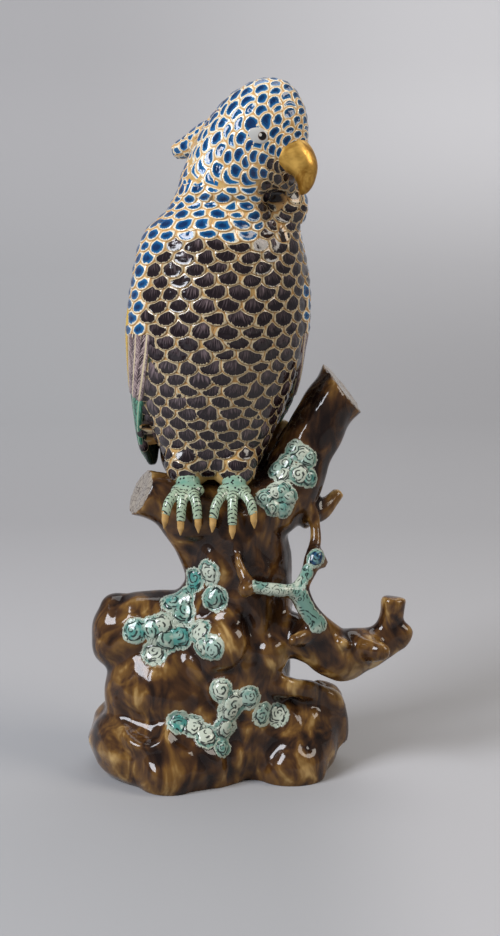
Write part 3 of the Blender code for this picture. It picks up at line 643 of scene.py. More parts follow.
# The torso's level sections: the share of its height from the top, shares of its width and depth, and where
# its middle lies in millimetres.
TORSO = (
    (0.00, 0.72, 0.73, -6.5, -4.0),
    (0.08, 0.885, 0.80, -11.6, -2.4),
    (0.16, 0.925, 0.87, -11.9, -1.0),
    (0.26, 0.955, 0.94, -12.2, 0.3),
    (0.36, 0.975, 0.985, -12.8, 1.4),
    (0.46, 0.98, 1.00, -13.6, 2.4),
    (0.57, 0.945, 0.975, -14.4, 3.4),
    (0.67, 0.87, 0.92, -15.2, 4.0),
    (0.77, 0.77, 0.83, -16.0, 4.3),
    (0.86, 0.655, 0.72, -16.2, 4.0),
    (0.94, 0.53, 0.59, -16.0, 3.2),
    (1.00, 0.36, 0.42, -15.6, 2.4),
)
# The wing's sections: the share of its length, its thickness, half its span and its middle in degrees round
# the body, and how far it is drawn in.
WING = (
    (0.00, 0.20, 12, 96, 2.0),
    (0.08, 0.55, 24, 98, 1.0),
    (0.22, 0.88, 33, 100, 0.2),
    (0.45, 1.00, 36, 101, 0.0),
    (0.62, 0.94, 33, 107, 0.8),
    (0.78, 0.80, 25, 115, 1.8),
    (0.92, 0.64, 14, 123, 2.4),
    (1.00, 0.40, 5, 127, 3.0),
)
HEAD_SPAN = (NAPE_ANGLE - FACE_ANGLE) * SKULL_REACH / 2
THIGH_RISE = Vector((0, 8, 11)) * MM
ANKLES = [up(x, y, -1.5) for x, y in ((-26.5, -17.5), (-6.8, -18.6))]
SKIN_GRAIN = 1.2 * MM
SKIN_STEP = 2 * MM


def blended(stations, at):
    """The values at a position on a smooth curve through the stations, which have the position first."""
    last = len(stations) - 2
    i = max(0, min(last, sum(row[0] <= at for row in stations) - 1))
    before, start, end, after = (stations[max(0, min(last + 1, i + k))] for k in (-1, 0, 1, 2))
    t = max(0.0, min(1.0, (at - start[0]) / (end[0] - start[0])))
    values = []
    for p0, p1, p2, p3 in zip(before[1:], start[1:], end[1:], after[1:]):
        bend = (2 * p0 - 5 * p1 + 4 * p2 - p3) * t * t + (3 * p1 - p0 - 3 * p2 + p3) * t**3
        values.append(0.5 * (2 * p1 + (p2 - p0) * t + bend))
    return values


def heading(yaw):
    """The level direction that is turned by yaw from -Y towards +X."""
    return Vector((math.sin(yaw), -math.cos(yaw), 0))


def head_section(angle):
    """Centre of the fan's section at this angle, its outward and sideways directions, and its half-sizes."""
    reach, width = blended(SKULL, math.degrees(angle))
    outward = UPWARD * math.cos(angle) - heading(HEAD_YAW) * math.sin(angle)
    half_reach = (reach * SKULL_REACH - THROAT_BEND) / 2
    centre = THROAT + outward * (THROAT_BEND + half_reach)
    return centre, outward, heading(HEAD_YAW + math.pi / 2), half_reach, width * SKULL_WIDTH / 2


def torso_section(down):
    """Centre and half-sizes of the level section at this share of the torso's height."""
    width, depth, x, y = blended(TORSO, down)
    centre = up(x, y, 0) + UPWARD * TORSO_HEIGHT * (1 - down)
    nape, _, _, half_reach, half_width = head_section(NAPE_ANGLE)
    nape.z = centre.z
    skull = max(0.0, 1 - down / NECK_BLEND) ** 2
    half_width += (width * TORSO_WIDTH / 2 - half_width) * (1 - skull)
    half_reach += (depth * TORSO_DEPTH / 2 - half_reach) * (1 - skull)
    return centre.lerp(nape, skull), half_width, half_reach


def skin_point(along, turn):
    """A point of the skin: `along` metres from the face down the back, `turn` round from the throat side."""
    aside = math.remainder(turn, 2 * math.pi) / math.radians(20)
    groove = THROAT_GROOVE * math.exp(-aside * aside)
    if along < HEAD_SPAN:
        angle = FACE_ANGLE + (NAPE_ANGLE - FACE_ANGLE) * along / HEAD_SPAN
        centre, outward, sideways, half_reach, half_width = head_section(angle)
        hollow = groove * max(0.0, angle / NAPE_ANGLE)
        inward = outward * (half_reach * math.cos(turn) - hollow)
        return centre + sideways * half_width * math.sin(turn) - inward
    down = min(1.0, (along - HEAD_SPAN) / TORSO_HEIGHT)
    centre, half_width, half_depth = torso_section(down)
    off_axis = turn + (HEAD_YAW - BODY_YAW) * (1 - min(1.0, down / NECK_TWIST))
    round_off = math.hypot(half_depth * math.sin(off_axis), half_width * math.cos(off_axis))
    radius = half_width * half_depth / round_off - groove * max(0.0, 1 - down / NECK_BLEND)
    return centre + heading(BODY_YAW + off_axis) * radius


def wing_point(side, share, turn):
    """A point of the wing's surface: `turn` goes round its section from the middle of the outer face."""
    thickness, span, middle, draw = blended(WING, share)
    middle += RIGHT_SWING * max(0, side) * max(0, share - SWING_FROM)
    down = 0.07 + share * WING_LENGTH / TORSO_HEIGHT
    centre, half_width, half_depth = torso_section(min(down, WING_FALL))
    centre.z = PERCH_HEIGHT + TORSO_HEIGHT * (1 - down)
    aside = side * math.radians(middle + span * math.sin(turn))
    radius = half_width * half_depth / math.hypot(half_depth * math.sin(aside), half_width * math.cos(aside))
    outwards = WING_THICKNESS / 2 * thickness * math.cos(turn)
    outwards *= WING_BURY if outwards < 0 else 1
    return centre + heading(BODY_YAW + aside) * (radius + outwards - draw * MM)


def loft(shape, rings):
    """A closed solid through rings of as many points each, with a fan at each end."""
    rows = [[shape.verts.new(point) for point in ring] for ring in rings]
    faces = []
    for upper, lower in zip(rows, rows[1:]):
        for k in range(len(upper)):
            following = (k + 1) % len(upper)
            faces.append(shape.faces.new((upper[k], lower[k], lower[following], upper[following])))
    for row in (rows[0], rows[-1]):
        middle = shape.verts.new(sum((v.co for v in row), Vector()) / len(row))
        for k in range(len(row)):
            faces.append(shape.faces.new((row[k], row[(k + 1) % len(row)], middle)))
    bmesh.ops.recalc_face_normals(shape, faces=faces)


def turns(count):
    """Angles at even steps round a full turn."""
    return [2 * math.pi * k / count for k in range(count)]


# The crest's stations: the share of its length, the height over the throat in millimetres, and a share of
# its radius.
CREST_LENGTH = 33 * MM
CREST_RADIUS = 8 * MM
CREST = ((0.00, 30, 1.15), (0.42, 27.5, 0.95), (0.74, 24.5, 0.66), (1.00, 22.5, 0.42))


def crest_point(back):
    """A point on the middle line of the crest that is laid back over the nape."""
    height = blended([(b, z) for b, z, _ in CREST], back)[0]
    return THROAT - heading(HEAD_YAW) * (SKULL_REACH * 0.46 + CREST_LENGTH * back) + UPWARD * height * MM


def cream_glaze():
    """The body glaze left bare between enamels: glossy and stained ochre, with painted shade: near-black
    green under the wings' quills and dark brown in the recess under the bill.
    """
    made, node = fired("cream body glaze")
    speck = node("TexNoise", node("TexCoord").outputs["Object"], 1 / (2.381 * MM), 3.0)
    colour = node("Mix", speck, "#a8803f", "#c3a670", **RGBA)
    # Painted shade: dark green on the skin under the quills and dark brown in the recess under the bill,
    # where shadow falls.
    for name, code in (("wing", "#16291f"), ("recess", "#241812")):
        colour = node("Mix", node("Attribute", attribute_name=name).outputs["Fac"], colour, code, **RGBA)
    return coated(made, colour, speck, 0.08 * MM)


def ridden(made):
    """The piece, on the figurine's body."""
    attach(made, "root")
    return made


def make_skin():
    """Head and torso as one loft, with the wings, the thighs, the shoulder's pad and the crest fused on."""
    shape = bmesh.new()
    steps = int((HEAD_SPAN + TORSO_HEIGHT) / SKIN_STEP)
    loft(shape, [[skin_point(i * SKIN_STEP, t) for t in turns(72)] for i in range(steps + 1)])
    for side in (-1, 1):
        loft(shape, [[wing_point(side, share / 50, t) for t in turns(40)] for share in range(51)])
    for ankle in ANKLES:
        ball(shape, ankle + THIGH_RISE, (10 * MM, 10 * MM, 12.5 * MM))
    ball(shape, up(13.5, -4, 118.5), (11 * MM, 12 * MM, 11 * MM))
    limb(shape, [(crest_point(back), CREST_RADIUS * radius) for back, _, radius in CREST])
    skin = mesh_object("bird_skin", shape, cream_glaze())
    return ridden(shaped(skin, remesh(SKIN_GRAIN), smooth(4)))


bird_skin = make_skin()
surface = BVHTree.FromObject(bird_skin, bpy.context.evaluated_depsgraph_get())

WING_TOP = 0.93 * TORSO_HEIGHT
WING_SLACK = 4
QUILLS_TOP = 64 * MM
RECESS_RADIUS = 13 * MM
RECESS_TOP = 16 * MM
RECESS_DROP = 26 * MM


def by_wing(height, t, slack):
    """Whether the direction t round the bird, at this height, falls on the long quills of a wing."""
    share = (WING_TOP - (height - PERCH_HEIGHT)) / WING_LENGTH
    _, span, middle, _ = blended(WING, min(1.0, max(0.0, share)))
    middle += RIGHT_SWING * max(0, share - SWING_FROM) * (math.sin(t) > 0)
    around = math.degrees(abs(math.remainder(t, 2 * math.pi)))
    return 0.44 < share < 1.05 and middle - span - slack < around < middle + span + min(slack, 0) + 4


def in_throat(at):
    """Whether a point lies in the shaded recess under the bill."""
    aside = at - THROAT - heading(HEAD_YAW) * 2 * MM
    return aside.z < RECESS_TOP and math.hypot(aside.x, aside.y) < RECESS_RADIUS


def under_quills(at):
    """Whether a point of the skin lies under the long quills of a wing."""
    away = at - torso_section(0.5)[0]
    turn = math.atan2(away.x, -away.y) - BODY_YAW
    return at.z < PERCH_HEIGHT + QUILLS_TOP and by_wing(at.z, turn, WING_SLACK)


def in_recess(at):
    """Whether a point of the skin lies in the recess, and not lower down on the breast."""
    return in_throat(at) and at.z > THROAT.z - RECESS_DROP


# Mark where the skin gets painted shade: in the recess under the bill and under the wings' long quills.
for name, rule in (("recess", in_recess), ("wing", under_quills)):
    inside = np.array([rule(v.co) for v in bird_skin.data.vertices], float)
    mark(bird_skin.data, name, averaged(bird_skin.data, inside, 1))

# Feathers: each a small domed pad that overlaps the row below. The enamel is laid on thick inside a bare
# margin, its lower edge drawn out in strokes, and an ochre line runs round in the margin. A place on a
# plate is in half-widths across it and half-lengths down it from its widest line.
FEATHERS_ROUND = 22
ROW_PITCH = 0.66
BREAST_SQUASH = 0.74
HEAD_SQUASH = 0.84
PLATE_TOP = -2.0
PLATE_ACROSS = (-1.05, -1.0, -0.72, -0.36, 0.0, 0.36, 0.72, 1.0, 1.05)
PLATE_ALONG = (-2.0, -1.4, -1.0, -0.66, -0.33, 0.0, 0.34, 0.62, 0.84, 0.985, 1.04)
BREAST_REACH = 0.89
HEAD_REACH = 0.81
AUBERGINE, BLUE = range(2)
BLUE_FROM = 105 * MM
BLUE_WAVE = 3.5 * MM
SKULL_RISE = 24.4 * MM
SKULL_BACK = 8.9 * MM
BILL_FALL = math.atan2(10.4, 17.9)
HEAD_ROW = 75 * MM
dice = random.Random(7)


def covers(feathers, feather, points):
    """How far each point lies outside the feathers that cover this one, where 1 is at the nearest rim."""
    centre, _, flow, _, half = feather[:5]
    above, earlier = [], True
    for other in feathers:
        away = other[0] - centre
        if other is feather:
            earlier = False
        elif away.length < 4.2 * half:
            ahead = away.dot(flow) / half
            if ahead < -0.35 or (ahead < 0.35 and earlier):
                above.append(other)
    nearest = np.full(len(points), 3.0)
    for middle, _, down, aside, size, squash, lean, _, _ in above:
        away = points - np.array(middle)
        v = away @ np.array(down) / (size * squash)
        u = away @ np.array(aside) / size - lean * v
        rim = np.where(v < PLATE_TOP, 3.0, np.hypot(u, np.maximum(v, 0)))
        nearest = np.minimum(nearest, rim)
    return nearest


def placed(seats, on):
    """Feathers as they lie, each a little astray. A seat is a point, a direction, a half-width and a kind."""
    feathers = []
    for at, flow, half, squash, kind in seats:
        stray = Vector((dice.uniform(-1, 1), dice.uniform(-1, 1), dice.uniform(-1, 1))) * half * 0.16
        near, normal, _, _ = on.find_nearest(at + stray)
        flow = (flow - normal * flow.dot(normal)).normalized()
        size = half * dice.uniform(0.92, 1.16)
        lean = dice.uniform(-0.14, 0.14)
        feathers.append((near, normal, flow, flow.cross(normal), size, squash, lean, dice.random(), kind))
    return feathers


def lay_feathers(name, feathers, others, on):
    """Build the feathers of one piece, where the other feathers can cover them too."""
    columns = len(PLATE_ACROSS)
    points, faces, places, tints, kinds, overs = [], [], [], [], [], []
    for feather in feathers:
        near, normal, flow, aside, half, squash, lean, tint, kind = feather
        first = len(points)
        grid, spots = [], []
        for v in PLATE_ALONG:
            width = math.sqrt(1 - min(v, 0.985) ** 2) if v > 0 else 1.0
            for s in PLATE_ACROSS:
                u = s * width
                grid.append((u, v, abs(s) > 1 or v > 1))
                spots.append(near + (aside * (u + lean * v) + flow * v * squash) * half)
        over = covers(others + feathers, feather, np.array(spots))
        reach = HEAD_REACH if kind == BLUE else BREAST_REACH
        for (u, v, turned), spot, past in zip(grid, spots, over):
            foot, facing, _, _ = on.find_nearest(spot)
            facing = (facing + normal).normalized()
            inside = math.hypot(u, max(0.0, v)) / reach
            pool = min(1.0, (inside**6 + max(0.0, 1 + 1.15 * (2 - reach - past)) ** 6) ** (1 / 6))
            rise = 0.02 + (0.045 if v > -1 else 0.14) * (v + 1) + 0.12 * (1 - pool * pool)
            rise -= (0.2 if turned else 0.0) + 0.4 * max(0.0, 1 - past)
            points.append(foot + facing * rise * half)
            places.append((u * 0.5 + 0.5, (v - PLATE_TOP) / 3))
            tints.append(tint)
            overs.append(past)
        for row in range(len(PLATE_ALONG) - 1):
            for j in range(columns - 1):
                a = first + row * columns + j
                faces.append((a, a + columns, a + columns + 1, a + 1))
                kinds.append(kind)
    made = dressed(name, points, faces, places, tints, kinds, FEATHER_ENAMELS)
    mark(made.data, "over", overs)


def dressed(name, points, faces, places, tints, kinds, materials):
    """A mesh object with a place on each feather as its UV map, and the feather's tint and material."""
    mesh = bpy.data.meshes.new(name)
    mesh.from_pydata(points, [], faces)
    layer = mesh.uv_layers.new(name="UVMap")
    corners = np.empty(len(mesh.loops), dtype=int)
    mesh.loops.foreach_get("vertex_index", corners)
    layer.data.foreach_set("uv", np.array(places, dtype=np.float32)[corners].ravel())
    mark(mesh, "tint", tints)
    for material in materials:
        mesh.materials.append(material)
    mesh.polygons.foreach_set("material_index", kinds)
    mesh.shade_smooth()
    made = bpy.data.objects.new(name, mesh)
    bpy.context.scene.collection.objects.link(made)
    return ridden(made)


def feather_enamel(name, deep, pale, top, margin, line, reach, spread):
    """Glossy enamel on one feather: a rounded pool in a cream margin, with an ochre line in the gap, and
    painted shade where a covered part shows.
    """
    made, node = fired(name)
    place = node("SeparateXYZ", node("UVMap", uv_map="UVMap"))
    u = node("Math", place.outputs["X"], 2.0, -1.0, operation="MULTIPLY_ADD")
    v = node("Math", place.outputs["Y"], 3.0, PLATE_TOP, operation="MULTIPLY_ADD")
    tint, over = (node("Attribute", attribute_name=name).outputs["Fac"] for name in ("tint", "over"))
    spot = node("CombineXYZ", u, node("Math", v, 0.0, operation="MAXIMUM"))
    rim = node("VectorMath", spot, operation="LENGTH")
    fan = node("Math", u, node("Math", v, 2.3, operation="ADD"), operation="DIVIDE")
    strokes = node("Math", fan, 26.0, operation="MULTIPLY")
    seed = node("Math", tint, 90.0, operation="MULTIPLY")
    stroke = node("TexNoise", node("CombineXYZ", strokes, seed, v), 1.0, 1.0)
    wander = node("TexNoise", node("TexCoord").outputs["Object"], 1 / (1.667 * MM))
    below = node("Math", node("Math", rim, reach, operation="DIVIDE"), 6.0, operation="POWER")
    above = node("Math", over, -1.15, 1 + 1.15 * (2 - reach), operation="MULTIPLY_ADD")
    above = node("Math", node("Math", above, 0.0, operation="MAXIMUM"), 6.0, operation="POWER")
    pool = node("Math", node("Math", below, above, operation="ADD"), 1 / 6, operation="POWER")
    ragged = node("Math", stroke, 0.5, operation="SUBTRACT")
    fringe = node("Math", ragged, node("MapRange", v, -0.2, 0.5, **SOFT), operation="MULTIPLY")
    uneven = node("Math", wander, 0.5, operation="SUBTRACT")
    shore = node("Math", fringe, 0.4, pool, operation="MULTIPLY_ADD")
    shore = node("Math", uneven, 0.12, shore, operation="MULTIPLY_ADD")
    # Painted sheen in part: the upper part of each feather is painted paler in streaks, standing both for
    # lilac strokes in the enamel and for the reflection of the bright room above.
    streaks_and_sheen = node("Math", ragged, 1.6, node("Math", v, -0.62, operation="MULTIPLY"), operation="MULTIPLY_ADD")
    thin = node("Math", tint, 0.7, 0.3, operation="MULTIPLY_ADD")
    thin = node("Math", node("MapRange", streaks_and_sheen, -0.25, 0.75, **SOFT), thin, operation="MULTIPLY")
    thick = node("Math", node("MapRange", pool, 0.55, 0.98, **SOFT), 0.6, operation="MULTIPLY")
    enamel = node("Mix", thick, node("Mix", thin, deep, pale, **RGBA), top, **RGBA)
    gap = spread * (1 - reach)
    at_rim = node("MapRange", rim, 1 - gap, 1 - 0.5 * gap, **SOFT)
    at_cover = node("MapRange", over, 1 + gap, 1 + 0.5 * gap, **SOFT)
    ochre = node("Math", node("Math", at_rim, at_cover, operation="MAXIMUM"), 0.85, operation="MULTIPLY")
    bare = node("Mix", ochre, node("Mix", wander, *margin, **RGBA), line, **RGBA)
    # Painted shade: where a covered part of a feather shows between the ones above, it is painted dark brown
    # as a shadowed gap.
    bare = node("Mix", node("MapRange", over, 0.93, 0.78, **SOFT), bare, "#33241a", **RGBA)
    fall = node("Math", node("Math", pool, 3.0, operation="POWER"), 1.0, operation="MINIMUM")
    dome = node("Math", 1.0, fall, operation="SUBTRACT")
    relief = node("Math", stroke, 0.03, dome, operation="MULTIPLY_ADD")
    laid = node("MapRange", shore, 1.02, 0.97, **SOFT)
    return coated(made, node("Mix", laid, bare, enamel, **RGBA), relief, 0.5 * MM)


# Painted light and shade: the cream margins and their ochre lines are painted darker on the breast, which
# lies in shade, and paler on the head, where the light falls.
BREAST_CREAM_IN_SHADE = ("#a39375", "#c0b08e")
HEAD_CREAM_IN_LIGHT = ("#cbc3a8", "#e2dac2")
BREAST_COAT = ("#160c10", "#837173", "#1b1013", BREAST_CREAM_IN_SHADE, "#a2763a")
HEAD_COAT = ("#00244c", "#11528c", "#1a6ea3", HEAD_CREAM_IN_LIGHT, "#c39049")
FEATHER_ENAMELS = (
    feather_enamel("aubergine enamel", *BREAST_COAT, BREAST_REACH, 0.46),
    feather_enamel("deep blue enamel", *HEAD_COAT, HEAD_REACH, 0.6),
)


def row_round(height, steps=200):
    """Points round the bird at one height, found from outside, from the middle of the breast."""
    middle = torso_section(max(0.0, 1 - (height - PERCH_HEIGHT) / TORSO_HEIGHT))[0]
    middle.z = height
    found = []
    for t in turns(steps):
        way = heading(BODY_YAW + t)
        hit = surface.ray_cast(middle + way * 90 * MM, -way, 90 * MM)[0]
        found.append((hit or middle + way * 5 * MM, t))
    return found


def spaced(found, shift, count=None, width=None, closed=True):
    """Seats at even distances along a row of points, so many or about so wide, each with half its width."""
    pairs = list(zip(found, found[1:] + (found[:1] if closed else [])))
    lengths = [(b[0] - a[0]).length for a, b in pairs]
    total = sum(lengths)
    count = count or max(3, round(total / width))
    edge = 0.0 if closed else 0.1
    wanted = [(i + shift + edge) * total / (count + 2 * edge) for i in range(count)]
    seats, walked, k = [], 0.0, 0
    for (a, b), length in zip(pairs, lengths):
        while k < len(wanted) and wanted[k] <= walked + length:
            share = (wanted[k] - walked) / max(length, 1e-9)
            seats.append((a[0].lerp(b[0], share), a[1], total / count / 2))
            k += 1
        walked += length
    return seats


def body_seats():
    """Level rows from the neck down to the perch, which leave the wings' long quills free."""
    seats = []
    height, number = PERCH_HEIGHT + TORSO_HEIGHT + 5 * MM, 0
    while height > PERCH_HEIGHT + 3 * MM:
        places = spaced(row_round(height), 0.5 * (number % 2), FEATHERS_ROUND)
        for at, t, half in places:
            if by_wing(height, t, WING_SLACK):
                continue
            turn = math.degrees(math.remainder(t, 2 * math.pi))
            around = abs(turn)
            tall = height - PERCH_HEIGHT
            share = (WING_TOP - tall) / WING_LENGTH
            part = math.copysign(0.3, turn) * max(0.0, 1 - around / 70) * min(1.0, around / 16)
            flow = -UPWARD + heading(BODY_YAW + t + math.pi / 2) * part
            far = 58 if math.sin(t) > 0 and share > 0.25 else 74
            is_blue = tall > BLUE_FROM + BLUE_WAVE * math.sin(t) or around > (far if share < 0.5 else 110)
            kind = BLUE if is_blue and not in_throat(at) else AUBERGINE
            seats.append((at, flow, half * 1.05, BREAST_SQUASH, kind))
        width = 2 * places[0][2]
        height -= width * ROW_PITCH * BREAST_SQUASH
        number += 1
    return seats


def head_seats():
    """Rows that start round the beak and go back over the crown and cheeks, until the neck's rows begin."""
    ahead = heading(HEAD_YAW)
    middle = THROAT + UPWARD * SKULL_RISE - ahead * SKULL_BACK
    forth = (ahead * math.cos(BILL_FALL) - UPWARD * math.sin(BILL_FALL)).normalized()
    right = forth.cross(UPWARD).normalized()
    above = right.cross(forth)
    tracks = []
    for t in turns(120):
        across = above * math.cos(t) + right * math.sin(t)
        track, walked, before = [], 0.0, None
        for degree in range(20, 178, 2):
            way = forth * math.cos(math.radians(degree)) + across * math.sin(math.radians(degree))
            hit = surface.ray_cast(middle, way, 60 * MM)[0]
            low_down = hit is None or hit.z < PERCH_HEIGHT + TORSO_HEIGHT + 3.5 * MM
            if low_down or (before and (hit - before).length > 5 * MM):
                break
            walked += (hit - before).length if before else 0.0
            track.append((walked, hit))
            before = hit
        tracks.append(track)
    seats, reach, number = [], 1.5 * MM, 0
    while reach < HEAD_ROW:
        width = (4.9 + 2.7 * min(1.0, reach / (30 * MM))) * MM
        runs, run = [], []
        for i in range(len(tracks) * 2):
            track = tracks[i % len(tracks)]
            if track and track[-1][0] > reach:
                k = sum(walked <= reach for walked, _ in track)
                (w0, p0), (w1, p1) = track[k - 1], track[k]
                run.append((p0.lerp(p1, (reach - w0) / (w1 - w0)), (p1 - p0).normalized()))
                if len(run) == len(tracks):
                    runs = [run]
                    break
            elif run:
                runs.append(run)
                run = []
        whole = len(runs) == 1 and len(runs[0]) == len(tracks)
        if not whole and len(runs) > 1:
            runs = sorted(runs[1:], key=len)[-1:]
        for run in runs:
            for at, flow, half in spaced(run, 0.5 * (number % 2), width=width, closed=whole):
                seats.append((at, flow, half * 1.05, HEAD_SQUASH, AUBERGINE if in_throat(at) else BLUE))
        reach += width * ROW_PITCH * HEAD_SQUASH
        number += 1
    for number in range(12):
        height = PERCH_HEIGHT + TORSO_HEIGHT + (4 + 3.6 * number) * MM
        for at, t, half in spaced(row_round(height), 0.5 * (number % 2), 20):
            far = min((at - seat[0]).length for seat in seats)
            if far > 3.7 * MM and math.cos(t) < 0.3:
                seats.append((at, -UPWARD, min(half, 3.4 * MM), HEAD_SQUASH, BLUE))
    return seats


def gap_seats(seats, on):
    """Feathers for the places that no row reaches, on the nape and wherever the rows part."""
    centres = np.array([seat[0] for seat in seats])
    flows = np.array([seat[1] for seat in seats])
    halves = np.array([seat[2] for seat in seats])
    squashes = np.array([seat[3] for seat in seats])
    kinds = [seat[4] for seat in seats]
    found = []
    for number in range(72):
        height = PERCH_HEIGHT + (6 + 2 * number) * MM
        for at, t, _ in spaced(row_round(height), 0.5 * (number % 2), 80):
            if by_wing(height, t, 0):
                continue
            near, normal, _, _ = on.find_nearest(at)
            away, facing = np.array(near) - centres, np.array(normal)
            level = flows - np.outer(flows @ facing, facing)
            level /= np.linalg.norm(level, axis=1)[:, None] + 1e-9
            v = np.einsum("ij,ij->i", away, level) / (halves * squashes)
            u = np.einsum("ij,ij->i", away, np.cross(level, facing)) / halves
            over = np.hypot(u, np.maximum(v, 0)) < 0.92
            close = np.linalg.norm(away, axis=1)
            if (over & (v > -1.1) & (v < 0.86) & (close < 3 * halves)).any():
                continue
            k = int(close.argmin())
            half = min(4.4 * MM, halves[k])
            found.append((at, Vector(flows[k]), half, squashes[k], AUBERGINE if in_throat(at) else kinds[k]))
            centres = np.vstack((centres, near))
            flows = np.vstack((flows, flows[k]))
            halves, squashes = np.append(halves, half), np.append(squashes, squashes[k])
            kinds.append(found[-1][4])
    return found


def crest_seats():
    """Pointed little feathers round the crest."""
    seats = []
    side = heading(HEAD_YAW + math.pi / 2)
    for number, back in enumerate((0.02, 0.16, 0.3, 0.44, 0.58, 0.72, 0.86, 0.98)):
        radius = CREST_RADIUS * blended([(b, r) for b, _, r in CREST], back)[0]
        flow = (crest_point(back) - crest_point(back - 0.1)).normalized()
        above = side.cross(flow).normalized()
        count = max(4, round(2 * math.pi * radius / (4.6 * MM)))
        for k in range(count):
            t = 2 * math.pi * (k + 0.5 * (number % 2)) / count
            at = crest_point(back) + (side * math.cos(t) + above * math.sin(t)) * radius
            seats.append((at, flow, math.pi * radius / count * 1.1, 1.1, BLUE))
    return seats


EYES = [skin_point(HEAD_SPAN * 0.22, side * math.radians(86)) for side in (-1, 1)]
seats = [seat for seat in head_seats() if min((seat[0] - eye).length for eye in EYES) > 4.6 * MM]
body = body_seats()
crest = placed(crest_seats(), surface)
head = placed(seats, surface)
fills = placed(gap_seats(seats + body, surface), surface)
body = placed(body, surface)
lay_feathers("crest_feathers", crest, [], surface)
lay_feathers("head_feathers", head, crest, surface)
lay_feathers("body_feathers", body, head, surface)
lay_feathers("neck_feathers", fills, crest + head + body, surface)

# Quills of the wings and tail: long blades, each with a bare shaft and combed barbs, drawn in lilac-brown
# enamel on the upper tier of the wing and in copper green below it.
QUILL_ACROSS = (-1.0, -0.94, -0.6, -0.22, 0.0, 0.22, 0.6, 0.94, 1.0)
QUILL_PARTS = 22


def quill_enamel(name, dark, mid, light, shaft):
    """Glossy enamel, combed into slanting barbs: pale on one side of the shaft and dark on the other."""
    made, node = fired(name, roughness=0.14)
    place = node("SeparateXYZ", node("UVMap", uv_map="UVMap"))
    u = node("Math", place.outputs["X"], 2.0, -1.0, operation="MULTIPLY_ADD")
    off = node("Math", u, operation="ABSOLUTE")
    swept = node("Math", off, -5.0, operation="MULTIPLY")
    slant = node("Math", place.outputs["Y"], 30.0, swept, operation="MULTIPLY_ADD")
    seed = node("Math", node("Attribute", attribute_name="tint").outputs["Fac"], 40.0, operation="MULTIPLY")
    ray = node("CombineXYZ", slant, seed, node("Math", u, 1.2, operation="MULTIPLY"))
    barb = node("TexNoise", ray, 1.6)
    vane = node("Math", node("Math", barb, 0.5, operation="SUBTRACT"), 3.4, u, operation="MULTIPLY_ADD")
    colour = node("Mix", node("MapRange", vane, -0.7, 0.0, **SOFT), mid, light, **RGBA)
    for value, start, end, code in ((vane, 0.1, 0.5, dark), (off, 0.12, 0.05, shaft), (off, 0.8, 0.9, shaft)):
        colour = node("Mix", node("MapRange", value, start, end, **SOFT), colour, code, **RGBA)
    return coated(made, colour, node("Math", off, -0.4, barb, operation="MULTIPLY_ADD"), 0.2 * MM)


LILAC, GREEN, YELLOW = range(3)
QUILL_ENAMELS = (
    quill_enamel("lilac-brown enamel", "#2a1b1f", "#5c4a4e", "#a8948f", "#c4b492"),
    quill_enamel("copper green enamel", "#04180f", "#124a38", "#4f8f76", "#8fa88c"),
    quill_enamel("yellow enamel", "#9a7626", "#bf9630", "#cdb355", "#b8a688"),
)


def lay_quills(name, blades):
    """Long blades. Each is a function that gives the point at a place on it, with its lift and its enamel."""
    points, faces, places, tints, kinds = [], [], [], [], []
    columns = len(QUILL_ACROSS)
    for point_at, lift, kind in blades:
        first, tint = len(points), dice.random()
        for i in range(QUILL_PARTS + 1):
            v = i / QUILL_PARTS
            narrow = math.sqrt(max(0.02, 1 - max(0.0, (v - 0.84) / 0.16) ** 2)) * min(1.0, 0.7 + v)
            for u in QUILL_ACROSS:
                at, outward = point_at(u * narrow, v)
                crown = 0.45 * (1 - u * u) - (0.7 if abs(u) == 1 or i == QUILL_PARTS else 0.0)
                points.append(at + outward * (lift * (0.4 + 0.6 * v) + crown * MM))
                places.append((u * 0.5 + 0.5, v))
                tints.append(tint)
        for i in range(QUILL_PARTS):
            for j in range(columns - 1):
                a = first + i * columns + j
                faces.append((a, a + columns, a + columns + 1, a + 1))
                kinds.append(kind)
    dressed(name, points, faces, places, tints, kinds, QUILL_ENAMELS)


def wing_quill(side, middle, half, start, end):
    """A blade on the wing, at a place across it from its front edge (-1) to its back edge (1)."""

    def point_at(u, v):
        across = middle + half * u
        turn = math.asin(max(-1, min(1, across))) + math.copysign(max(0, abs(across) - 1), across)
        share = start + (end - start) * v
        target = wing_point(side, share, turn)
        near, normal, _, _ = surface.find_nearest(target)
        outward = target - torso_section(0.5)[0]
        outward.z = 0
        return near, (normal + outward.normalized()).normalized()

    return point_at


wing_blades = []
for side in (-1, 1):
    for k in range(7):
        middle = -0.94 + 1.88 * k / 6
        end = 0.985 - 0.02 * abs(k - 2)
        wing_blades.append((wing_quill(side, middle, 0.25, 0.52, end), (0.2 + 0.1 * k) * MM, GREEN))
    for k in range(8):
        middle = -0.96 + 1.92 * k / 7
        start, kind = (0.34, YELLOW) if k == 3 else (0.44, LILAC)
        blade = wing_quill(side, middle, 0.21, start, 0.715 - 0.012 * k)
        wing_blades.append((blade, (0.6 + 0.08 * k) * MM, kind))
lay_quills("wing_quills", wing_blades)


def plain_glaze(name, dark, light, mottle_size, roughness=0.16):
    """A glossy glaze of one colour that came out of the kiln a little uneven."""
    made, node = fired(name, roughness=roughness)
    mottle = node("TexNoise", node("TexCoord").outputs["Object"], 1 / mottle_size, 3.0)
    return coated(made, node("Mix", mottle, dark, light, **RGBA), mottle)


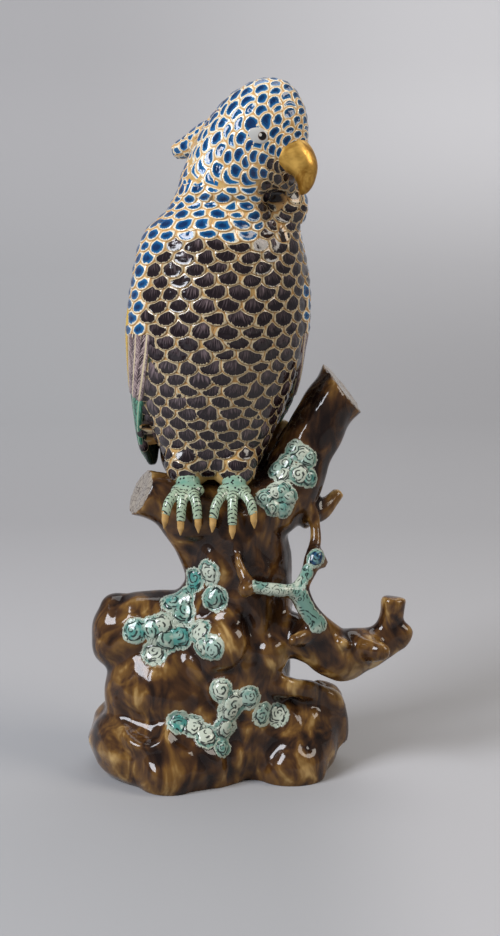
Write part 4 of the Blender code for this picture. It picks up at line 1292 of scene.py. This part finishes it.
# Tail: a flat core with a dark green glaze, luted along the trunk, with green quills on its back and
# underside. Its stations are the share of its length, shares of its width and thickness, and millimetres
# behind the perch.
TAIL_LENGTH = 96 * MM
TAIL_WIDTH = 30 * MM
TAIL_THICKNESS = 10 * MM
TAIL_TOP = 32 * MM
TAIL = (
    (0.00, 0.70, 1.00, 15.0),
    (0.20, 0.95, 1.10, 22.0),
    (0.40, 1.00, 1.00, 25.0),
    (0.70, 0.86, 0.85, 25.0),
    (0.92, 0.60, 0.60, 23.5),
    (1.00, 0.30, 0.30, 22.5),
)


# Each tail quill: its place across the tail, its reach down it, and its lift in millimetres.
TAIL_QUILLS = ((-0.72, 0.86, 0.1), (0.72, 0.86, 0.1), (-0.38, 0.94, 0.5), (0.38, 0.94, 0.5), (0, 1.0, 0.9))


def tail_point(share, across, outwards):
    """A point in the tail: across it and out of its back, in half-widths and half-thicknesses."""
    width, thickness, back = blended(TAIL, share)
    centre = up(-13 + 8 * share, -2, 0) + UPWARD * (TAIL_TOP - TAIL_LENGTH * share)
    backwards = -heading(BODY_YAW)
    centre += backwards * (back * MM + outwards * thickness * TAIL_THICKNESS / 2)
    return centre + heading(BODY_YAW + math.pi / 2) * across * width * TAIL_WIDTH / 2


def tail_quill(middle, half, end, face):
    """A blade on the back (1) or the underside (-1) of the tail."""

    def point_at(u, v):
        across = middle + half * u
        flat = max(0.0, 1 - min(1.0, across * across)) ** 0.5
        return tail_point(end * v, across, face * flat), -heading(BODY_YAW) * face

    return point_at


def make_tail():
    shape = bmesh.new()
    shares = [k / 30 for k in range(31)]
    loft(shape, [[tail_point(s, math.cos(t), math.sin(t)) for t in turns(32)] for s in shares])
    ridden(mesh_object("tail_core", shape, plain_glaze("dark green glaze", "#0c2219", "#1b4233", 3.333 * MM)))
    blades = []
    for face in (1, -1):
        for middle, end, lift in TAIL_QUILLS:
            blades.append((tail_quill(middle, 0.3, end, face), lift * MM, GREEN))
    lay_quills("tail_quills", blades)


make_tail()

# Beak: the hooked upper bill, modelled over the porcelain, gilded all over and burnished. The lower bill
# under it is glazed grey. The hook's stations are shares of its reach, its drop and its radius.
BEAK_RADIUS = 8.7 * MM
BEAK_REACH = 14.5 * MM
BEAK_DROP = 16 * MM
BEAK_BACK = 4.5 * MM
BEAK_RISE = 18 * MM
HOOK = (
    (-0.20, 0.08, 1.32),
    (0.15, 0.05, 1.30),
    (0.55, 0.07, 1.12),
    (0.88, 0.25, 0.78),
    (1.00, 0.60, 0.50),
    (0.93, 0.88, 0.28),
    (0.84, 1.00, 0.08),
)


def gilding():
    """Gold that was brushed on thin, fired and burnished: a soft sheen, rubbed browner in places."""
    made, node = fired("burnished gilding", roughness=0.4, metallic=0.75)
    at = node("TexCoord").outputs["Object"]
    rubbed = node("TexNoise", at, 1 / (6.25 * MM), 3.0, 0.6, named={"Distortion": 0.5})
    colour = node("Mix", node("MapRange", rubbed, 0.3, 0.7, **SOFT), "#91641f", "#dcae57", **RGBA)
    return coated(made, colour, node("TexNoise", at, 1 / (2.381 * MM), 3.0), 0.12 * MM)


def make_beak():
    ahead = heading(HEAD_YAW)
    root = THROAT - ahead * BEAK_BACK + UPWARD * BEAK_RISE
    upper = bmesh.new()
    stations = [(root + ahead * BEAK_REACH * f - UPWARD * BEAK_DROP * d, BEAK_RADIUS * r) for f, d, r in HOOK]
    limb(upper, stations, sides=8, resolution=12)
    beak = mesh_object("upper_bill", upper, gilding())
    ridden(shaped(beak, remesh(0.45 * MM), smooth(6)))
    lower = bmesh.new()
    ball(lower, root + ahead * 3.5 * MM - UPWARD * 8.5 * MM, (5.2 * MM, 5.2 * MM, 4.4 * MM))
    ridden(mesh_object("lower_bill", lower, plain_glaze("grey glaze", "#4e464a", "#8f8886", 3.333 * MM)))


make_beak()

# Eyes: almond-shaped beads of white enamel, laid on the cheeks, with the iris, the pupil and a glint
# painted on. Places on a bead are in millimetres from its middle, forward and up.
EYE_SIZE = (4.3, 3.3, 0.9)
IRIS = (1.7, 0.4)
GLINT = (0.75, 0.5)


def eye_enamel():
    """White enamel with a glassy shine over the brown iris and black pupil; the pale glint on them is a
    painted highlight.
    """
    made, node = fired("white enamel eye")
    place = [node("Attribute", attribute_name=name).outputs["Fac"] for name in ("across", "rise")]
    seen = node("CombineXYZ", *place)
    iris, glint = (node("VectorMath", seen, (x, z, 0.0), operation="DISTANCE") for x, z in (IRIS, GLINT))
    colour = node("Mix", node("MapRange", iris, 1.9, 1.6, **SOFT), "#b0afaa", "#5b4230", **RGBA)
    colour = node("Mix", node("MapRange", iris, 1.65, 1.5, **SOFT), colour, "#0d090a", **RGBA)
    return coated(made, node("Mix", node("MapRange", glint, 0.75, 0.55, **SOFT), colour, "#b9b4aa", **RGBA))


def make_eyes():
    white = eye_enamel()
    for number, (side, eye) in enumerate(zip((-1, 1), EYES)):
        near, normal, _, _ = surface.find_nearest(eye)
        forth = heading(HEAD_YAW) - UPWARD * 0.35
        forth = (forth - normal * forth.dot(normal)).normalized()
        rising = (normal.cross(forth) * -side).normalized()
        rising = rising if rising.z > 0 else -rising
        shape = bmesh.new()
        bmesh.ops.create_uvsphere(shape, u_segments=40, v_segments=24, radius=1.0)
        across, rise = [], []
        for v in shape.verts:
            x, z, out = (share * size for share, size in zip(v.co, EYE_SIZE))
            z *= 1 - 0.3 * max(0, -v.co.x)
            across.append(x)
            rise.append(z)
            v.co = near + (forth * (x - 1.1) + rising * (z + 0.1) + normal * out) * MM
        made = mesh_object(f"eye_{number}", shape, white)
        mark(made.data, "across", across)
        mark(made.data, "rise", rise)
        ridden(made)


make_eyes()

# Feet: turquoise at the ankle, paler over the toes, with dotted and dashed scales painted in black. The
# claws are gilt.
SHANK_RADIUS = 5 * MM
TOE_RADIUS = 2.2 * MM
TOE_LENGTH = 12 * MM
CLAW_LENGTH = 5.8 * MM
# The toes of each foot: how far aside it ends, in millimetres, and its share of the length.
TOES = (((-9.0, 0.76), (-2.6, 1.0), (4.6, 0.92)), ((-8.6, 0.88), (-0.6, 1.12), (8.2, 0.74)))
# Along a toe: shares of the way aside, millimetres forward, and shares of the drop and the radius.
KNUCKLES = ((0.1, 1.0, 0.0, 1.0), (0.5, 6.0, 0.08, 1.05), (0.85, 9.6, 0.45, 1.0), (1.0, 10.8, 1.0, 0.9))


def foot_glaze():
    """Turquoise enamel that thins out over the toes, with black dots on the shank and dashes on the toes."""
    made, node = fired("turquoise enamel", roughness=0.13)
    at = node("TexCoord").outputs["Object"]
    reach = node("Attribute", attribute_name="reach").outputs["Fac"]
    mottle = node("TexNoise", at, 1 / (3.846 * MM), 3.0)
    colour = node("Mix", node("MapRange", reach, 4.5, 8.0, **SOFT), "#1f7a6b", "#82997f", **RGBA)
    colour = node("Mix", node("Math", mottle, 0.5, operation="MULTIPLY"), colour, "#c3c8b0", **RGBA)
    dots = node("MapRange", node("TexVoronoi", at, 1 / (1.786 * MM)), 0.34, 0.22, **SOFT)
    dots = node("Math", dots, node("MapRange", reach, 8.5, 6.5, **SOFT), operation="MULTIPLY")
    ring = node("Math", mottle, 0.5, reach, operation="MULTIPLY_ADD")
    dash = node("MapRange", node("Math", ring, 0.62, operation="PINGPONG"), 0.26, 0.14, **SOFT)
    dash = node("Math", dash, node("MapRange", reach, 5.5, 7.5, **SOFT), operation="MULTIPLY")
    broken = node("MapRange", node("TexNoise", at, 1 / (1.111 * MM), 1.0), 0.40, 0.5, **SOFT)
    dash = node("Math", dash, broken, operation="MULTIPLY")
    colour = node("Mix", node("Math", dots, dash, operation="MAXIMUM"), colour, "#14181a", **RGBA)
    return coated(made, colour, mottle)


def make_feet():
    turquoise = foot_glaze()
    gilt = plain_glaze("gilt claw glaze", "#85602a", "#d3ab69", 3.846 * MM, 0.14)
    for number, (ankle, spreads) in enumerate(zip(ANKLES, TOES)):
        shape, claws = bmesh.new(), bmesh.new()
        limb(shape, [(ankle + THIGH_RISE, SHANK_RADIUS), (ankle, SHANK_RADIUS * 1.1)])
        ball(shape, ankle + Vector((0, -2 * MM, 0)), [SHANK_RADIUS * r for r in (1.45, 0.95, 0.75)])
        for spread, drop in spreads:
            spread, drop = spread * MM, TOE_LENGTH * drop
            bends = [(Vector((spread * f, -a * MM, -drop * d)), r) for f, a, d, r in KNUCKLES]
            limb(shape, [(ankle + bend, TOE_RADIUS * r) for bend, r in bends])
            tip = ankle + bends[-1][0]
            point = tip + Vector((spread * 0.06, -0.3 * MM, -CLAW_LENGTH))
            claw = [(tip + UPWARD * 1.7 * MM, TOE_RADIUS * 0.74), (tip.lerp(point, 0.45), TOE_RADIUS * 0.66)]
            limb(claws, claw + [(point, TOE_RADIUS * 0.12)], resolution=6)
        foot = mesh_object(f"foot_{number}", shape, turquoise)
        shaped(foot, remesh(0.5 * MM), smooth(6))
        mark(foot.data, "reach", np.linalg.norm(points_of(foot.data) - np.array(ankle), axis=1) / MM)
        ridden(foot)
        ridden(mesh_object(f"claws_{number}", claws, gilt))


make_feet()

# Lichen: rosettes of thick celadon and turquoise enamel that lie over each other like clouds, each drawn
# round with a black line and a spiral.
def lichen_enamel(name, pale, deep, line):
    """Thick glossy enamel, paler where it lies thin, with a spiral and a rim drawn in a broken black line."""
    made, node = fired(name, roughness=0.12)
    at = node("TexCoord").outputs["Object"]
    tint = node("Attribute", attribute_name="tint").outputs["Fac"]
    centred = node("VectorMath", node("UVMap", uv_map="UVMap"), (-0.5, -0.5, 0.0), operation="ADD")
    curled = node("VectorMath", centred, (-0.13, 0.05, 0.0), operation="ADD")
    out, coiled = (node("VectorMath", place, operation="LENGTH") for place in (centred, curled))
    out = node("Math", out, 2.0, operation="MULTIPLY")
    split = node("SeparateXYZ", curled)
    angle = node("Math", split.outputs["Y"], split.outputs["X"], operation="ARCTAN2")
    angle = node("Math", angle, 2 * math.pi, operation="DIVIDE")
    mottle = node("TexNoise", at, 1 / (3.03 * MM), 3.0)
    coil = node("Math", coiled, 4.6, angle, operation="MULTIPLY_ADD")
    coil = node("Math", mottle, 0.9, coil, operation="MULTIPLY_ADD")
    coil = node("MapRange", node("Math", coil, 0.5, operation="PINGPONG"), 0.25, 0.13, **SOFT)
    spiral = node("Math", coil, node("MapRange", out, 0.9, 0.82, **SOFT), operation="MULTIPLY")
    edge = node("MapRange", out, 0.76, 0.83, **SOFT)
    edge = node("Math", edge, node("MapRange", out, 1.0, 0.97, **SOFT), operation="MULTIPLY")
    broken = node("MapRange", node("TexNoise", at, 1 / (2.381 * MM), 1.0), 0.42, 0.5, **SOFT)
    drawn = node("Math", node("Math", spiral, edge, operation="MAXIMUM"), broken, operation="MULTIPLY")
    shade = node("Math", node("Math", mottle, 0.5, operation="SUBTRACT"), 2.2, tint, operation="MULTIPLY_ADD")
    colour = node("Mix", node("MapRange", shade, 0.3, 1.1, **SOFT), pale, deep, **RGBA)
    colour = node("Mix", node("Math", drawn, 0.92, operation="MULTIPLY"), colour, line, **RGBA)
    return coated(made, colour, node("Math", out, -0.6, operation="MULTIPLY"), 0.25 * MM)


def make_lichen():
    clay = BVHTree.FromObject(stump, bpy.context.evaluated_depsgraph_get())
    rings, spokes = 7, 30
    points, faces, places, tints, kinds = [], [], [], [], []
    for x, z, radius, kind in LICHEN:
        near, normal = seen_from_front(clay, x, z)
        tint, spin, reach = dice.random(), dice.uniform(0, 6), radius * 1.1 * MM
        if near is None or kind == 3:
            continue
        aside = UPWARD.cross(normal).normalized()
        above = normal.cross(aside)
        first = len(points)
        for i in range(rings + 1):
            r = i / rings
            for k in range(spokes):
                a = 2 * math.pi * k / spokes
                lobe = 1 + r * (0.09 * math.sin(4 * a + spin) + 0.06 * math.sin(7 * a - spin))
                flat = near + (aside * math.cos(a) + above * math.sin(a)) * reach * r * lobe
                foot, facing, _, _ = clay.find_nearest(flat)
                rise = 0.25 + 0.15 * tint + 0.55 * (1 - r * r)
                points.append(foot + facing * (rise if i < rings else -0.3) * MM)
                places.append((0.5 + math.cos(a + spin) * r / 2, 0.5 + math.sin(a + spin) * r / 2))
                tints.append(tint)
        for i in range(rings):
            for k in range(spokes):
                a, b = first + i * spokes + k, first + i * spokes + (k + 1) % spokes
                faces.append((a, a + spokes, b + spokes, b))
                kinds.append(kind)
    coats = [
        lichen_enamel("celadon enamel", "#b2b9a8", "#678d7f", "#0c1415"),
        lichen_enamel("turquoise enamel wash", "#94aa9c", "#3f7f76", "#0a1314"),
        lichen_enamel("dark blue flower enamel", "#6f9690", "#173c5c", "#08101c"),
    ]
    dressed("lichen", points, faces, places, tints, kinds, coats)


make_lichen()
